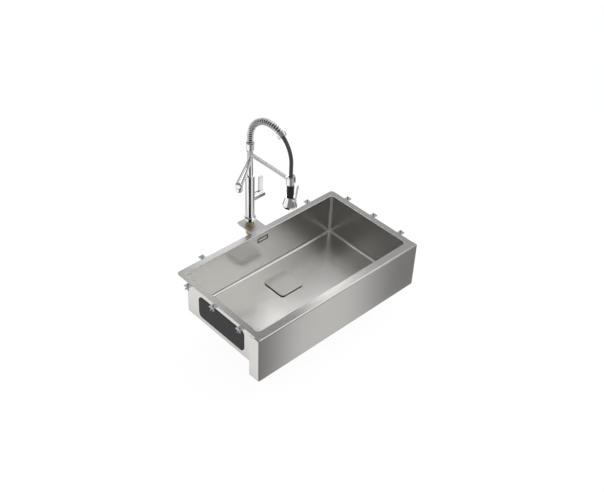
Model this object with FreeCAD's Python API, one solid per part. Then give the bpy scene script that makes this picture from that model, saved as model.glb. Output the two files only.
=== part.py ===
import FreeCAD, Part
import math
import os
from FreeCAD import Vector

# Apron-front stainless sink with its waste, overflow and spring tap, in millimetres.
# The origin is the middle of the bowl's opening, in the plane of the rim flange's top.
# +X runs to the right along the apron, +Y to the back, +Z up.

# Bowl, pressed from one sheet
sheet = 1.2
bowl_width = 740.0
bowl_length = 400.0
bowl_depth = 180.0
bowl_corner_radius = 12.0
bowl_floor_radius = 10.0
rim_inner_bend = 0.8
flange_width = 25.0
flange_corner_radius = 15.0
front_flange_width = 12.0

# Apron, folded from a second sheet and welded to the bowl's front flange
apron_sheet = 1.5
apron_width = 800.0
apron_height = 195.0
ledge_depth = 37.0
apron_return = 50.0
apron_bend_radius = 6.0
apron_hem = 22.0
stiffener_width = 40.0
stiffener_foot = 26.0
stiffener_spacing = 400.0
stiffener_drop = 92.0

# Sound-damping pads
pad_thickness = 2.5
pad_radius = 18.0
side_pad_length = 250.0
side_pad_height = 96.0
back_pad_length = 200.0
back_pad_height = 96.0
back_pad_spacing = 420.0
floor_pad_length = 190.0
floor_pad_width = 260.0
floor_pad_spacing = 420.0
wall_pad_drop = 104.0

# Fixing clips, with their studs and wing nuts
clip_sheet = 2.0
clip_width = 22.0
clip_toe = 12.0
clip_heel = 20.0
clip_hole_reach = 9.0
stud_radius = 3.0
stud_above = 10.0
stud_below = 24.0
nut_height = 6.0
wing_nut_radius = 6.5
wing_span = 26.0
wing_height = 11.0
wing_thickness = 2.0
clip_side_shares = (-0.36, 0.0, 0.36)
clip_back_shares = (-0.36, 0.36)

# Drain seat, cup, seals and waste body
drain_offset = 76.0
drain_hole_radius = 45.0
seat_radius = 53.0
seat_depth = 2.4
seal_thickness = 1.0
cup_sheet = 1.0
cup_radius = 42.5
cup_depth = 50.0
cup_bend_radius = 5.0
cup_flange_radius = 52.2
drain_slot_radius = 4.5
drain_slot_circle = 24.0
drain_slot_count = 10
waste_seal_thickness = 3.0
waste_rim_radius = 58.0
waste_rim_height = 6.0
waste_wall = 3.0
waste_radius = 49.0
waste_depth = 66.0
waste_cone = 16.0
tail_radius = 23.9
tail_bore = 20.0
tail_length = 40.0
hub_radius = 7.5
hub_length = 18.0
hub_rib_thickness = 3.0
hub_rib_count = 3
clamp_screw_radius = 3.0
clamp_head_radius = 7.0
clamp_head_height = 2.2
clamp_tip = 14.0
rim_rib_count = 24
rim_rib_radius = 2.0

# Strainer basket and drain cover
basket_sheet = 0.8
basket_radius = 40.5
basket_base_radius = 37.0
basket_height = 34.0
basket_lip = 1.2
basket_hole_radius = 2.6
basket_hole_count = 18
basket_hole_rows = 3
basket_row_pitch = 8.0
stopper_thickness = 2.6
stopper_radius = 33.0
stopper_bore = 10.0
stem_radius = 3.0
knob_radius = 9.0
knob_height = 6.0
knob_rise = 30.0
cover_size = 112.0
cover_sheet = 2.0
cover_corner_radius = 14.0
cover_gap = 3.4
cover_edge_radius = 0.8
foot_radius = 5.0
foot_inset = 12.0

# Overflow
overflow_width = 52.0
overflow_height = 19.0
overflow_radius = 3.0
overflow_drop = 31.0
overflow_slot = 3.2
plate_thickness = 1.5
plate_stem_radius = 2.9
plate_stem_length = 12.0
frame_margin = 7.0
frame_seal = 2.0
housing_wall = 2.0
boss_radius = 5.0
pipe_radius = 12.0
pipe_wall = 2.0
spigot_length = 18.0
waste_spigot_length = 22.0
waste_spigot_drop = 34.0
pipe_bend_radius = 45.0
union_wall = 4.0
union_wall_gap = 1.5
union_length = 20.0
union_rib_radius = 1.2
union_rib_count = 12

# Tap bracket under the rear flange
worktop_thickness = 20.0
tap_setback = 75.0
bracket_thickness = 3.0
bracket_width = 74.0
bracket_margin = 38.0
bracket_radius = 10.0
bracket_wall_gap = 3.0
bracket_stud_spacing = 48.0
bracket_stud_inset = 9.0
bracket_stud_length = 10.6
bracket_nut_flats = 10.0
bracket_nut_height = 5.0

# Tap base, shank and clamp
base_seal = 1.0
base_radius = 22.0
base_height = 15.0
base_chamfer = 2.0
shank_radius = 16.5
shank_below = 46.0
inlet_radius = 4.5
inlet_depth = 26.0
inlet_spacing = 15.0
washer_radius = 27.0
washer_thickness = 3.0
clamp_nut_flats = 46.0
clamp_nut_height = 12.0

# Tap column, cartridge and lever
column_radius = 17.5
column_top = 206.0
column_chamfer = 0.8
lever_height = 98.0
lever_radius = 15.0
lever_boss_reach = 41.2
lever_cap_length = 23.0
lever_cap_gap = 0.4
lever_cap_chamfer = 1.0
lever_seam_chamfer = 0.8
cartridge_radius = 12.4
cartridge_start = 13.2
cartridge_length = 22.0
cartridge_nut_length = 5.6
cartridge_nut_bore = 8.0
cartridge_nut_notch = 3.0
spindle_radius = 4.0
spindle_length = 10.0
paddle_width = 20.0
paddle_height = 64.0
paddle_thickness = 8.0
paddle_radius = 4.0
paddle_lift = 3.2
paddle_edge = 1.0
paddle_foot_width = 7.0
paddle_foot_depth = 6.0
lever_pin_radius = 1.5
lever_pin_rise = 10.0
lever_pin_inset = 13.0
lever_pin_length = 21.0
lever_slot_wall = 6.6
lever_slot_length = 12.2
lever_slot_depth = 13.0

# Riser with the swivel spout
riser_radius = 11.5
riser_upper_radius = 8.8
riser_bore = 5.0
riser_socket = 18.0
riser_exposed = 57.0
slip_washer = 1.0
spout_collar_height = 24.0
spout_turn = 54.0
spout_root_radius = 8.0
spout_end_radius = 14.5
spout_reach = 166.0
spout_nose = 13.0
spout_nose_edge = 6.5
nozzle_reach_down = 24.0
nozzle_outer_radius = 12.0
aerator_radius = 10.5
aerator_height = 6.0
aerator_bore = 8.6

# Dock arm, spring socket, arch and hose
dock_collar_height = 23.0
dock_arm_width = 13.0
dock_arm_height = 11.0
dock_arm_edge = 2.5
fork_radius = 17.0
fork_slot_radius = 13.0
fork_height = 29.0
fork_front = 11.0
socket_radius = 15.5
socket_height = 36.0
socket_taper = 10.0
socket_floor = 18.0
arch_radius = 110.0
arch_rise = 21.0
hose_radius = 7.0
hose_end_gap = 0.3
spring_radius = 11.5
spring_wire_radius = 1.7
spring_pitch = 9.8
spring_turn_pieces = 4
spring_sweep = 118.0
end_ring_radius = 16.5
end_ring_length = 15.0
end_ring_seat = 6.0

# Spray head
neck_radius = 12.5
neck_length = 33.0
neck_collar_radius = 15.5
neck_collar_height = 4.0
neck_socket = 18.0
grip_radius = 13.5
grip_length = 50.0
grip_groove = 0.7
grip_groove_pitch = 6.0
grip_groove_count = 7
bell_top_radius = 18.0
bell_waist_radius = 21.0
bell_radius = 27.0
bell_rim_radius = 26.0
bell_waist_drop = 15.0
bell_shoulder_drop = 36.0
bell_height = 44.0
face_radius = 24.0
face_thickness = 5.0
nozzle_radius = 1.0
nozzle_height = 1.2
nozzle_counts = (1, 6, 12, 18)
nozzle_pitch = 6.2
trigger_width = 9.0
trigger_thickness = 2.6
trigger_pivot_reach = 24.5
trigger_pivot_drop = 6.0
trigger_bend_reach = 28.0
trigger_bend_rise = 6.0
trigger_tip_reach = 37.5
trigger_tip_rise = 64.0
trigger_eye_radius = 3.4
trigger_pin_radius = 1.2
lug_thickness = 2.4

# Fits
free_gap = 0.3
hole_gap = 0.3
fit_gap = 0.1
pin_gap = 0.05
overrun = 1.0
tolerance = 0.01

# Axes and turns
right = Vector(1, 0, 0)
back = Vector(0, 1, 0)
up = Vector(0, 0, 1)
full_turn = 360.0
quarter_turn = 90.0

# Levels and places that several pieces share
floor_level = -bowl_depth
wall_x = bowl_width / 2 + sheet
wall_y = bowl_length / 2 + sheet
flange_x = bowl_width / 2 + flange_width
flange_back = bowl_length / 2 + flange_width
apron_face = -(bowl_length / 2 + ledge_depth)
weld_line = -(bowl_length / 2 + front_flange_width)
drain = Vector(0, drain_offset, floor_level)
cover_level = floor_level + cover_gap
bracket_level = -sheet - bracket_thickness
tap_offset = bowl_length / 2 + tap_setback
tap = Vector(0, tap_offset, worktop_thickness)
base_level = base_seal + base_height
step_level = column_top + riser_exposed
spout_level = step_level + slip_washer + free_gap
spout_collar_top = spout_level + spout_collar_height
dock_level = spout_collar_top + free_gap + slip_washer + free_gap
dock_top = dock_level + dock_collar_height
socket_top = dock_top + socket_height
riser_top = dock_top + socket_floor
arch_level = socket_top + arch_rise
reach = 2 * arch_radius
arm_level = dock_level + dock_collar_height / 2
fork_top = arm_level + fork_height / 2
neck_level = fork_top + free_gap
grip_top = neck_level - neck_length
bell_top = grip_top - grip_length
bell_bottom = bell_top - bell_height
head = Vector(0, tap_offset - reach, worktop_thickness)
lever_axis = tap + up * lever_height
cap_start = lever_boss_reach + lever_cap_gap
cap_end = cap_start + lever_cap_length
union_radius = pipe_radius + fit_gap + union_wall
pipe_back = wall_y + union_wall_gap + union_rib_radius + union_radius
housing_rear = pipe_back + pipe_radius + housing_wall
housing_depth = housing_rear - wall_y - frame_seal
pipe_top = -overflow_drop - overflow_height / 2 - frame_margin - spigot_length
pipe_low = floor_level - waste_spigot_drop
pipe_front = drain_offset + waste_radius + waste_spigot_length


def box(x0, x1, y0, y1, z0, z1):
    return Part.makeBox(x1 - x0, y1 - y0, z1 - z0, Vector(x0, y0, z0))


def rod(start, axis, radius, length):
    return Part.makeCylinder(radius, length, start, axis)


def ring(start, axis, outer, inner, length):
    return rod(start, axis, outer, length).cut(rod(start, axis, inner, length))


def turned(centre, outline):
    points = [centre + right * r + up * h for r, h in outline]
    face = Part.Face(Part.makePolygon(points + points[:1]))
    return face.revolve(centre, up, full_turn)


def rounded_plate(centre, across, along, width, height, radius, thickness):
    # A plate with round corners, centred on its outline, thickened along across x along.
    edges = []
    last = None
    first = None
    for k in range(4):
        start = math.radians(quarter_turn * k)
        side = 1 if k in (0, 3) else -1
        rise = 1 if k in (0, 1) else -1
        hub = centre + across * (side * (width / 2 - radius)) + along * (rise * (height / 2 - radius))
        spots = []
        for share in (0.0, 0.5, 1.0):
            angle = start + math.radians(quarter_turn * share)
            spots.append(hub + across * (radius * math.cos(angle)) + along * (radius * math.sin(angle)))
        if last is not None:
            edges.append(Part.LineSegment(last, spots[0]).toShape())
        else:
            first = spots[0]
        edges.append(Part.Arc(*spots).toShape())
        last = spots[2]
    edges.append(Part.LineSegment(last, first).toShape())
    face = Part.Face(Part.Wire(edges))
    return face.extrude(across.cross(along) * thickness)


def hexagon(start, axis_flats, bore, height):
    corner = axis_flats / math.sqrt(3)
    points = []
    for k in range(7):
        angle = math.radians(60 * k)
        points.append(start + right * (corner * math.cos(angle)) + back * (corner * math.sin(angle)))
    prism = Part.Face(Part.makePolygon(points)).extrude(up * height)
    return prism.cut(rod(start, up, bore, height))


def round_about(shape, centre, count):
    # The shape repeated round the vertical through centre.
    copies = []
    for k in range(count):
        copy = shape.copy()
        copy.rotate(centre, up, full_turn * k / count)
        copies.append(copy)
    return copies


def rounded_upright(shape, radius, test):
    edges = []
    for edge in shape.Edges:
        line = edge.BoundBox
        if line.ZLength > tolerance and line.XLength < tolerance and line.YLength < tolerance:
            if test(line.Center):
                edges.append(edge)
    return shape.makeFillet(radius, edges)


def level_edges(shape, level, half_x, half_y):
    # Edges that lie flat at a level, inside a rectangle about the origin.
    found = []
    for edge in shape.Edges:
        line = edge.BoundBox
        flat = abs(line.ZMin - level) < tolerance and abs(line.ZMax - level) < tolerance
        inside = max(-line.XMin, line.XMax) < half_x + tolerance
        inside = inside and max(-line.YMin, line.YMax) < half_y + tolerance
        if flat and inside:
            found.append(edge)
    return found


def save(name, shapes):
    shape = shapes if not isinstance(shapes, list) else Part.makeCompound(shapes)
    shape.exportStep("parts/" + name + ".step")
    print(name, "solids", len(shape.Solids), "volume", round(shape.Volume, 1), "valid", shape.isValid())


def basin(margin):
    # The bowl's form, grown by margin on its walls and floor.
    half_x = bowl_width / 2 + margin
    half_y = bowl_length / 2 + margin
    block = box(-half_x, half_x, -half_y, half_y, floor_level - margin, 0)
    block = rounded_upright(block, bowl_corner_radius + margin, lambda spot: True)
    return block.makeFillet(bowl_floor_radius + margin, level_edges(block, floor_level - margin, half_x, half_y))


def bowl():
    flange = box(-flange_x, flange_x, weld_line, flange_back, -sheet, 0)
    flange = rounded_upright(flange, flange_corner_radius, lambda spot: spot.y > 0)
    shell = basin(sheet).fuse(flange).cut(basin(0)).removeSplitter()
    shell = shell.makeFillet(rim_inner_bend + sheet, level_edges(shell, 0, bowl_width / 2, bowl_length / 2))
    under = level_edges(shell, -sheet, wall_x, wall_y)
    shell = shell.makeFillet(rim_inner_bend, under)
    shell = shell.cut(rod(drain - up * sheet, up, seat_radius + sheet, sheet))
    low = -seat_depth - sheet
    seat = turned(drain, [
        (drain_hole_radius, -seat_depth),
        (seat_radius, -seat_depth),
        (seat_radius, 0),
        (seat_radius + sheet, 0),
        (seat_radius + sheet, low),
        (drain_hole_radius, low),
    ])
    shell = shell.fuse(seat).removeSplitter()
    middle = Vector(0, wall_y + overrun, -overflow_drop)
    through = sheet + 2 * overrun
    return shell.cut(rounded_plate(middle, right, up, overflow_width, overflow_height, overflow_radius, through))


def apron_panel():
    half = apron_width / 2
    rear = apron_face + apron_return
    outer = box(-half, half, apron_face, rear, -apron_height, 0)
    bends = []
    for edge in outer.Edges:
        line = edge.BoundBox
        front = line.YMax < apron_face + tolerance
        top = line.ZMin > -tolerance
        bottom = line.ZMax < tolerance - apron_height
        if (front and not bottom) or (top and line.YLength > tolerance):
            bends.append(edge)
    outer = outer.makeFillet(apron_bend_radius, bends)
    inner_half = half - apron_sheet
    inner = box(-inner_half, inner_half, apron_face + apron_sheet, rear, apron_sheet - apron_height, -apron_sheet)
    hollows = []
    for edge in inner.Edges:
        line = edge.BoundBox
        front = line.YMax < apron_face + apron_sheet + tolerance
        top = line.ZMin > -apron_sheet - tolerance
        bottom = line.ZMax < apron_sheet - apron_height + tolerance
        if (front and not bottom) or (top and line.YLength > tolerance):
            hollows.append(edge)
    inner = inner.makeFillet(apron_bend_radius - apron_sheet, hollows)
    panel = outer.cut(inner)
    panel = panel.cut(box(-half, half, weld_line, rear, -apron_bend_radius, overrun))
    hem_end = apron_face + apron_hem
    lower = apron_sheet - apron_height
    return panel.cut(box(-inner_half, inner_half, hem_end, rear, -apron_height - overrun, lower))


def apron_stiffeners():
    front = apron_face + apron_sheet
    rear = -wall_y
    top = -stiffener_drop
    outline = [
        (front, top + stiffener_foot),
        (front + apron_sheet, top + stiffener_foot),
        (front + apron_sheet, top),
        (rear, top),
        (rear, top - stiffener_foot),
        (rear - apron_sheet, top - stiffener_foot),
        (rear - apron_sheet, top - apron_sheet),
        (front, top - apron_sheet),
    ]
    brackets = []
    for side in (-1, 1):
        x = side * stiffener_spacing / 2 - stiffener_width / 2
        points = [Vector(x, y, z) for y, z in outline]
        face = Part.Face(Part.makePolygon(points + points[:1]))
        brackets.append(face.extrude(right * stiffener_width))
    return brackets


def side_pad(side):
    centre = Vector(side * wall_x, 0, -wall_pad_drop)
    along = back * side
    return rounded_plate(centre, along, up, side_pad_length, side_pad_height, pad_radius, pad_thickness)


def back_pads():
    pads = []
    for side in (-1, 1):
        centre = Vector(side * back_pad_spacing / 2, wall_y, -wall_pad_drop)
        pads.append(rounded_plate(centre, up, right, back_pad_height, back_pad_length, pad_radius, pad_thickness))
    return pads


def floor_pads():
    pads = []
    for side in (-1, 1):
        centre = Vector(side * floor_pad_spacing / 2, 0, floor_level - sheet)
        pads.append(rounded_plate(centre, back, right, floor_pad_width, floor_pad_length, pad_radius, pad_thickness))
    return pads


def clip_places():
    # Turn about the vertical and place on the flange's edge of each clip.
    places = []
    for share in clip_side_shares:
        places.append((0, Vector(flange_x, share * bowl_length, 0)))
        places.append((2 * quarter_turn, Vector(-flange_x, share * bowl_length, 0)))
    for share in clip_back_shares:
        places.append((quarter_turn, Vector(share * bowl_width, flange_back, 0)))
    return places


def at_clips(shape):
    copies = []
    for angle, place in clip_places():
        copy = shape.copy()
        copy.rotate(Vector(0, 0, 0), up, angle)
        copy.translate(place)
        copies.append(copy)
    return copies


def mounting_clip():
    low = -sheet - clip_sheet
    outline = [
        (-clip_toe, low),
        (clip_heel, low),
        (clip_heel, 0),
        (clip_heel - clip_sheet, 0),
        (clip_heel - clip_sheet, -sheet),
        (-clip_toe, -sheet),
    ]
    points = [Vector(x, -clip_width / 2, z) for x, z in outline]
    strip = Part.Face(Part.makePolygon(points + points[:1])).extrude(back * clip_width)
    hole = rod(Vector(clip_hole_reach, 0, low), up, stud_radius + hole_gap, clip_sheet)
    return strip.cut(hole)


def clip_stud():
    return rod(Vector(clip_hole_reach, 0, -stud_below), up, stud_radius, stud_below + stud_above)


def wing_nut():
    top = -sheet - clip_sheet
    start = Vector(clip_hole_reach, 0, top - nut_height)
    nut = rod(start, up, wing_nut_radius, nut_height)
    for side in (-1, 1):
        near = side * wing_nut_radius / 2
        far = side * wing_span / 2
        x0 = clip_hole_reach + min(near, far)
        x1 = clip_hole_reach + max(near, far)
        half = wing_thickness / 2
        nut = nut.fuse(box(x0, x1, -half, half, top - wing_height, top - wing_height + nut_height))
    nut = nut.cut(rod(start - up * wing_height, up, stud_radius + fit_gap, nut_height + wing_height))
    return nut.removeSplitter()


def drain_cup():
    under = seal_thickness - seat_depth
    top = under + cup_sheet
    hole = clamp_screw_radius + hole_gap
    cup = turned(drain, [
        (hole, -cup_depth),
        (cup_radius, -cup_depth),
        (cup_radius, top),
        (cup_flange_radius, top),
        (cup_flange_radius, under),
        (cup_radius + cup_sheet, under),
        (cup_radius + cup_sheet, -cup_depth - cup_sheet),
        (hole, -cup_depth - cup_sheet),
    ])
    for level, radius, bend in (
        (floor_level - cup_depth, cup_radius, cup_bend_radius),
        (floor_level - cup_depth - cup_sheet, cup_radius + cup_sheet, cup_bend_radius + cup_sheet),
    ):
        edges = []
        for edge in cup.Edges:
            line = edge.BoundBox
            if abs(line.ZMax - level) < tolerance and abs(line.XMax - radius) < tolerance:
                edges.append(edge)
        cup = cup.makeFillet(bend, edges)
    start = drain + right * drain_slot_circle - up * (cup_depth + cup_sheet)
    slot = rod(start, up, drain_slot_radius, cup_sheet)
    return cup.cut(Part.makeCompound(round_about(slot, drain, drain_slot_count)))


def drain_seal():
    start = drain - up * seat_depth
    return ring(start, up, cup_flange_radius, drain_hole_radius, seal_thickness)


def waste_seal():
    start = drain - up * (seat_depth + sheet + waste_seal_thickness)
    return ring(start, up, waste_rim_radius, drain_hole_radius, waste_seal_thickness)


def waste_body():
    top = -seat_depth - sheet - waste_seal_thickness
    rim = top - waste_rim_height
    inner = waste_radius - waste_wall
    throat = -waste_depth - waste_cone
    end = throat - tail_length
    body = turned(drain, [
        (inner, top),
        (waste_rim_radius, top),
        (waste_rim_radius, rim),
        (waste_radius, rim),
        (waste_radius, -waste_depth),
        (tail_radius, throat),
        (tail_radius, end),
        (tail_bore, end),
        (tail_bore, throat),
        (inner, -waste_depth),
    ])
    rib = rod(drain + right * waste_rim_radius + up * rim, up, rim_rib_radius, waste_rim_height)
    for piece in round_about(rib, drain, rim_rib_count):
        body = body.fuse(piece)
    hub_top = drain + up * throat
    hub = rod(hub_top - up * hub_length, up, hub_radius, hub_length)
    spoke_reach = (tail_radius + tail_bore) / 2
    half = hub_rib_thickness / 2
    low = floor_level + throat - hub_length
    spoke = box(0, spoke_reach, drain.y - half, drain.y + half, low, low + hub_length)
    for piece in round_about(spoke, drain, hub_rib_count):
        hub = hub.fuse(piece)
    body = body.fuse(hub)
    start = Vector(0, drain_offset + inner, pipe_low)
    spigot = rod(start, back, pipe_radius, pipe_front - start.y)
    body = body.fuse(spigot)
    axis_start = Vector(0, drain_offset, pipe_low)
    body = body.cut(rod(axis_start, back, pipe_radius - pipe_wall, pipe_front - drain_offset))
    bore = rod(hub_top - up * hub_length, up, clamp_screw_radius + fit_gap, hub_length)
    return body.cut(bore).removeSplitter()


def clamp_screw():
    seat = drain - up * cup_depth
    shank = cup_sheet + waste_depth + waste_cone - cup_depth - cup_sheet + clamp_tip
    screw = rod(seat - up * shank, up, clamp_screw_radius, shank)
    return screw.fuse(rod(seat, up, clamp_head_radius, clamp_head_height)).removeSplitter()


def stopper_seal():
    start = drain + up * (free_gap - cup_depth)
    return ring(start, up, stopper_radius, stopper_bore, stopper_thickness)


def basket_base():
    return free_gap + stopper_thickness - cup_depth


def strainer_basket():
    base = basket_base()
    top = base + basket_height
    basket = turned(drain, [
        (0, base),
        (basket_base_radius, base),
        (basket_radius, top - basket_lip),
        (basket_radius + basket_sheet, top - basket_lip),
        (basket_radius + basket_sheet, top),
        (basket_radius - basket_sheet, top),
        (basket_base_radius - basket_sheet, base + basket_sheet),
        (0, base + basket_sheet),
    ])
    holes = []
    for row in range(basket_hole_rows):
        height = base + basket_height / 2 + (row - (basket_hole_rows - 1) / 2) * basket_row_pitch
        hole = rod(drain + up * height, right, basket_hole_radius, basket_radius + overrun)
        hole = hole.cut(rod(drain + up * (base - overrun), up, stopper_radius, basket_height))
        half_step = full_turn / basket_hole_count * (row % 2) / 2
        hole.rotate(drain, up, half_step)
        holes.extend(round_about(hole, drain, basket_hole_count))
    return basket.cut(Part.makeCompound(holes))


def basket_knob():
    start = drain + up * (basket_base() + basket_sheet)
    stem = rod(start, up, stem_radius, knob_rise)
    knob = rod(start + up * (knob_rise - knob_height), up, knob_radius, knob_height)
    edges = [edge for edge in knob.Edges if edge.Closed]
    knob = knob.makeFillet(knob_height / 3, edges)
    return stem.fuse(knob).removeSplitter()


def cover_plate():
    centre = Vector(0, drain_offset, cover_level)
    plate = rounded_plate(centre, right, back, cover_size, cover_size, cover_corner_radius, cover_sheet)
    edges = [edge for edge in plate.Edges if edge.BoundBox.ZMin > cover_level + cover_sheet - tolerance]
    return plate.makeFillet(cover_edge_radius, edges)


def cover_feet():
    feet = []
    out = cover_size / 2 - foot_inset
    for x in (-out, out):
        for y in (-out, out):
            start = drain + right * x + back * y + up * free_gap
            feet.append(rod(start, up, foot_radius, cover_gap - free_gap))
    return feet


def overflow_plate():
    front = bowl_length / 2
    centre = Vector(0, front + plate_thickness, -overflow_drop)
    width = overflow_width - 2 * overflow_slot
    height = overflow_height - 2 * overflow_slot
    radius = overflow_radius * height / overflow_height
    plate = rounded_plate(centre, right, up, width, height, radius, plate_thickness)
    stem = rod(centre, back, plate_stem_radius, plate_stem_length)
    return plate.fuse(stem).removeSplitter()


def overflow_seal():
    centre = Vector(0, wall_y + frame_seal, -overflow_drop)
    outer_w = overflow_width + 2 * frame_margin
    outer_h = overflow_height + 2 * frame_margin
    outer = rounded_plate(centre, right, up, outer_w, outer_h, overflow_radius, frame_seal)
    return outer.cut(rounded_plate(centre, right, up, overflow_width, overflow_height, overflow_radius, frame_seal))


def overflow_housing():
    rear = housing_rear
    outer_w = overflow_width + 2 * frame_margin
    outer_h = overflow_height + 2 * frame_margin
    centre = Vector(0, rear, -overflow_drop)
    outer = rounded_plate(centre, right, up, outer_w, outer_h, overflow_radius, housing_depth)
    wall = 2 * housing_wall
    hollow_at = Vector(0, rear - housing_wall, -overflow_drop)
    hollow_depth = housing_depth - housing_wall
    hollow = rounded_plate(hollow_at, right, up, outer_w - wall, outer_h - wall, overflow_radius, hollow_depth)
    spigot_at = Vector(0, pipe_back, pipe_top)
    rise = spigot_length + housing_wall
    case = outer.cut(hollow).fuse(rod(spigot_at, up, pipe_radius, spigot_length))
    case = case.cut(rod(spigot_at, up, pipe_radius - pipe_wall, rise))
    boss_start = Vector(0, bowl_length / 2 + plate_thickness, -overflow_drop)
    boss_length = rear - housing_wall - boss_start.y
    boss = ring(boss_start, back, boss_radius, plate_stem_radius + fit_gap, boss_length)
    return case.fuse(boss).removeSplitter()


def swept(path, radius, start, direction):
    circle = Part.Wire(Part.makeCircle(radius, start, direction))
    return Part.Wire(path).makePipeShell([circle], True, False)


def overflow_pipe():
    bend = pipe_bend_radius
    top = Vector(0, pipe_back, pipe_top)
    enter = Vector(0, pipe_back, pipe_low + bend)
    leave = Vector(0, pipe_back - bend, pipe_low)
    hub = Vector(0, pipe_back - bend, pipe_low + bend)
    middle = hub + (back - up) * (bend / math.sqrt(2))
    end = Vector(0, pipe_front, pipe_low)
    path = [
        Part.LineSegment(top, enter).toShape(),
        Part.Arc(enter, middle, leave).toShape(),
        Part.LineSegment(leave, end).toShape(),
    ]
    outer = swept(path, pipe_radius, top, up)
    return outer.cut(swept(path, pipe_radius - pipe_wall, top, up))


def union_nut(start, axis):
    nut = ring(start, axis, union_radius, pipe_radius + fit_gap, union_length)
    across = right
    along = axis.cross(across)
    for k in range(union_rib_count):
        angle = math.radians(full_turn * k / union_rib_count)
        spot = start + across * (union_radius * math.cos(angle)) + along * (union_radius * math.sin(angle))
        nut = nut.fuse(rod(spot, axis, union_rib_radius, union_length))
    return nut.removeSplitter()


def union_nuts():
    half = union_length / 2
    upper = union_nut(Vector(0, pipe_back, pipe_top - half), up)
    lower = union_nut(Vector(0, pipe_front - half, pipe_low), back)
    return [upper, lower]


def bracket_stud_spots():
    y = flange_back - bracket_stud_inset
    return [Vector(side * bracket_stud_spacing / 2, y, 0) for side in (-1, 1)]


def tap_bracket():
    front = wall_y + bracket_wall_gap
    rear = tap_offset + bracket_margin
    centre = Vector(0, (front + rear) / 2, bracket_level)
    plate = rounded_plate(centre, right, back, bracket_width, rear - front, bracket_radius, bracket_thickness)
    holes = [rod(Vector(0, tap_offset, bracket_level), up, shank_radius + hole_gap, bracket_thickness)]
    for spot in bracket_stud_spots():
        holes.append(rod(spot + up * bracket_level, up, stud_radius + hole_gap, bracket_thickness))
    return plate.cut(Part.makeCompound(holes))


def bracket_studs():
    low = up * (sheet + bracket_stud_length)
    return [rod(spot - low, up, stud_radius, bracket_stud_length) for spot in bracket_stud_spots()]


def bracket_nuts():
    nuts = []
    for spot in bracket_stud_spots():
        start = spot + up * (bracket_level - bracket_nut_height)
        nuts.append(hexagon(start, bracket_nut_flats, stud_radius + fit_gap, bracket_nut_height))
    return nuts


def tap_base_seal():
    return ring(tap, up, base_radius - base_chamfer, shank_radius + fit_gap, base_seal)


def tap_base_ring():
    bore = shank_radius + fit_gap
    return turned(tap, [
        (bore, base_seal),
        (base_radius, base_seal),
        (base_radius, base_level - base_chamfer),
        (base_radius - base_chamfer, base_level),
        (bore, base_level),
    ])


def tap_shank():
    low = Vector(0, tap_offset, -shank_below)
    shank = rod(low, up, shank_radius, shank_below + worktop_thickness + base_level)
    for side in (-1, 1):
        shank = shank.cut(rod(low + right * (side * inlet_spacing / 2), up, inlet_radius, inlet_depth))
    return shank


def tap_clamp_washer():
    start = Vector(0, tap_offset, bracket_level - washer_thickness)
    disc = rod(start, up, washer_radius, washer_thickness)
    half = shank_radius + hole_gap
    disc = disc.cut(rod(start, up, half, washer_thickness))
    slot = box(-half, half, tap_offset, tap_offset + washer_radius, start.z, start.z + washer_thickness)
    return disc.cut(slot)


def tap_clamp_nut():
    start = Vector(0, tap_offset, bracket_level - washer_thickness - clamp_nut_height)
    return hexagon(start, clamp_nut_flats, shank_radius + fit_gap, clamp_nut_height)


def tap_body():
    column = turned(tap, [
        (0, base_level),
        (column_radius, base_level),
        (column_radius, column_top - column_chamfer),
        (column_radius - column_chamfer, column_top),
        (0, column_top),
    ])
    boss = rod(lever_axis, right, lever_radius, lever_boss_reach)
    seam = [edge for edge in boss.Edges if edge.BoundBox.XMin > lever_boss_reach - tolerance]
    body = column.fuse(boss.makeChamfer(lever_seam_chamfer, seam))
    chamber = lever_boss_reach - cartridge_start
    body = body.cut(rod(lever_axis + right * cartridge_start, right, cartridge_radius + fit_gap, chamber))
    socket = rod(tap + up * (column_top - riser_socket), up, riser_radius + fit_gap, riser_socket)
    return body.cut(socket)


def mixer_cartridge():
    start = lever_axis + right * cartridge_start
    spindle = rod(start + right * cartridge_length, right, spindle_radius, spindle_length)
    return rod(start, right, cartridge_radius, cartridge_length).fuse(spindle).removeSplitter()


def cartridge_nut():
    start = lever_axis + right * (cartridge_start + cartridge_length)
    nut = ring(start, right, cartridge_radius, cartridge_nut_bore, cartridge_nut_length)
    x1 = start.x + cartridge_nut_length
    half = cartridge_nut_notch / 2
    notch = box(x1 - cartridge_nut_notch, x1, start.y - cartridge_radius, start.y + cartridge_radius,
                start.z - half, start.z + half)
    return nut.cut(notch)


def lever_pivot():
    return lever_axis + right * (cap_end - lever_pin_inset) + up * lever_pin_rise


def lever_slot():
    half = paddle_thickness / 2 + free_gap
    x1 = cap_end - lever_slot_wall
    z1 = lever_axis.z + lever_radius
    return box(x1 - lever_slot_length, x1, lever_axis.y - half, lever_axis.y + half,
               z1 - lever_slot_depth, z1 + overrun)


def lever_cap():
    start = lever_axis + right * cap_start
    cap = rod(start, right, lever_radius, lever_cap_length)
    rim = [edge for edge in cap.Edges if edge.BoundBox.XMin > cap_end - tolerance]
    cap = cap.makeChamfer(lever_cap_chamfer, rim)
    seam = [edge for edge in cap.Edges if edge.BoundBox.XMax < cap_start + tolerance]
    cap = cap.makeChamfer(lever_seam_chamfer, seam)
    spindle_end = cartridge_start + cartridge_length + spindle_length
    cap = cap.cut(rod(start, right, spindle_radius + fit_gap, spindle_end + free_gap - cap_start))
    cap = cap.cut(lever_slot())
    pivot = lever_pivot()
    return cap.cut(rod(pivot - back * lever_radius, back, lever_pin_radius + pin_gap / 2, 2 * lever_radius))


def lever_pin():
    return rod(lever_pivot() - back * (lever_pin_length / 2), back, lever_pin_radius, lever_pin_length)


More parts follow.
